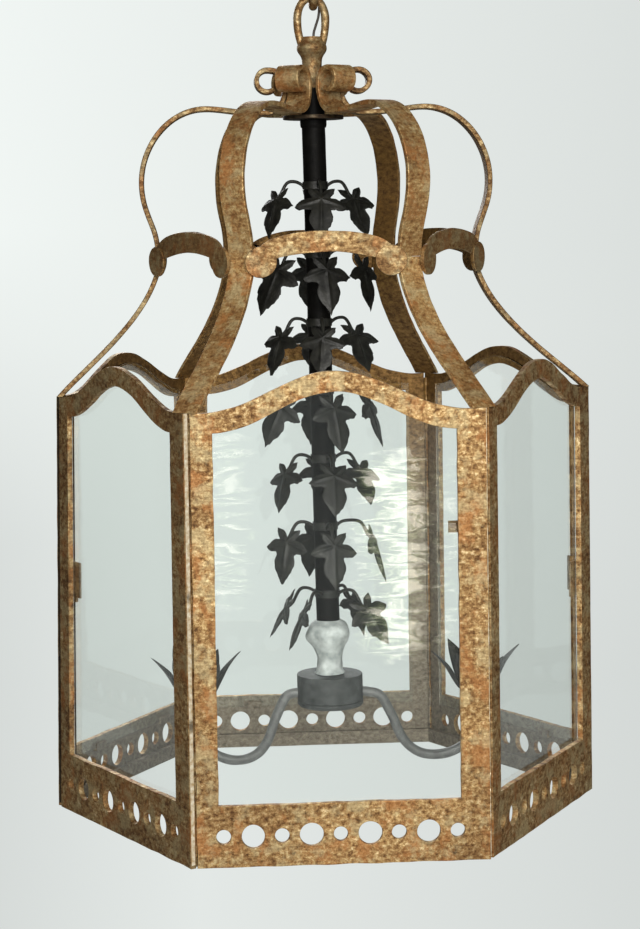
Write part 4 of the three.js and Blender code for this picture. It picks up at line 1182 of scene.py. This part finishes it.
def make_world():
    world = bpy.data.worlds.new("studio")
    scene.world = world
    world.use_nodes = True
    nodes = Nodes(world.node_tree)
    path = nodes.add("LightPath")
    x, _, z = nodes.add("SeparateXYZ", {0: nodes.place["Generated"]})
    # The wall is brighter to the left and high up, and darker low down and in the lower left corner: painted light
    # and shade on the wall.
    across = nodes.remap(x, -0.1, 0.21, 1.08, 0.86)
    down = nodes.remap(z, -0.05, -0.2, 1.0, 0.93)
    low_left = nodes.product(nodes.remap(x, 0.0, -0.1), nodes.remap(z, 0.0, -0.14), 0.2)
    glow = nodes.product(across, down, nodes.calc("SUBTRACT", 1.0, low_left))
    wall = nodes.add("VectorMath", {0: WALL, "Scale": glow}, operation="SCALE")["Vector"]
    bounced = nodes.calc("GREATER_THAN", path["Diffuse Depth"], 0.5)
    seen = nodes.calc("MAXIMUM", path["Is Camera Ray"], path["Is Transmission Ray"])
    clear = nodes.calc("MAXIMUM", nodes.calc("SUBTRACT", seen, bounced), 0.0)
    nodes.fill(nodes.tree.nodes["Background"], {"Color": nodes.mix(clear, dimmed(WALL, ROOM), wall)})


def make_reflection():
    """A soft window with greenery behind the camera, which only gloss and glass show."""
    material = bpy.data.materials.new("window_light")
    material.use_nodes = True
    material.node_tree.nodes.clear()
    nodes = Nodes(material.node_tree)
    x, _, z = nodes.add("SeparateXYZ", {0: nodes.place["Object"]})
    wander = nodes.product(nodes.calc("SUBTRACT", nodes.noise(14, 4, 0.7, (1, 1, 2.5)), 0.5), 0.22)
    x = nodes.calc("ADD", x, wander)
    z = nodes.calc("ADD", z, wander)

    def patch(left, right, low, high, soft, power):
        left, right, low, high = left * MM, right * MM, BASE + low * MM, BASE + high * MM
        return nodes.product(power, nodes.remap(x, left, left + soft), nodes.remap(x, right, right - soft),
                             nodes.remap(z, low, low + soft), nodes.remap(z, high, high - soft))

    glow = nodes.calc("ADD", patch(320, 525, -640, -20, 0.06, 0.95), patch(545, 620, -600, -60, 0.03, 0.4))
    glow = nodes.calc("ADD", glow, patch(-120, 40, -480, 40, 0.06, 0.5))
    streaks = nodes.noise(17, 6, 0.68, (0.55, 1, 3.2))
    middle = nodes.product(nodes.remap(x, 0.36, 0.44, 0, 0.075), nodes.remap(x, 0.53, 0.47))
    colour = nodes.ramp(nodes.calc("ADD", streaks, middle), (0.45, (0.01, 0.016, 0.005)),
                        (0.52, (0.22, 0.27, 0.13)), (0.6, (1, 0.95, 0.78)))
    light = nodes.add("Emission", {"Strength": 15, "Color": colour})[0]
    mixed = nodes.add("MixShader", {0: glow, 1: nodes.add("BsdfTransparent")[0], 2: light})[0]
    nodes.add("OutputMaterial", {"Surface": mixed})
    corners = [(WINDOW_LEFT, WINDOW_LOW), (WINDOW_RIGHT, WINDOW_LOW), (WINDOW_RIGHT, WINDOW_HIGH),
               (WINDOW_LEFT, WINDOW_HIGH)]
    window = add_mesh("window", [(a, WINDOW_DISTANCE, b) for a, b in corners], [[3, 2, 1, 0]], material)
    for ray in ("camera", "diffuse", "transmission", "shadow"):
        setattr(window, f"visible_{ray}", False)


def area_light(name, place, size, power, colour=(1, 1, 1)):
    data = bpy.data.lights.new(name, "AREA")
    data.shape = "RECTANGLE"
    data.size, data.size_y = size
    data.energy = power
    data.color = colour
    lamp = add_object(name, data)
    lamp.location = metres(place)
    lamp.visible_camera = lamp.visible_transmission = False
    lamp.rotation_euler = (metres(AIM) - metres(place)).to_track_quat("-Z", "Y").to_euler()


def make_floor():
    finish = Finish("pale_floor", 0, 0.7)
    tone = finish.ramp(finish.noise(3), (0.3, (0.66, 0.67, 0.65)), (0.7, (0.72, 0.73, 0.71)))
    finish.shade({"Base Color": tone, "Emission Color": tone, "Emission Strength": 0.42})
    points = [(FLOOR_RADIUS * x, FLOOR_RADIUS * y, FLOOR_LEVEL) for x, y in circle(1, 96)]
    add_mesh("floor", points, [list(range(len(points)))], finish.material)


make_world()
make_floor()
make_reflection()
area_light("key", (90, -3300, 1250), (2.2, 1.6), 128, (1, 0.98, 0.94))
area_light("back", (-700, 3000, 1700), (2.0, 1.6), 62)
scene.view_settings.view_transform = "Standard"
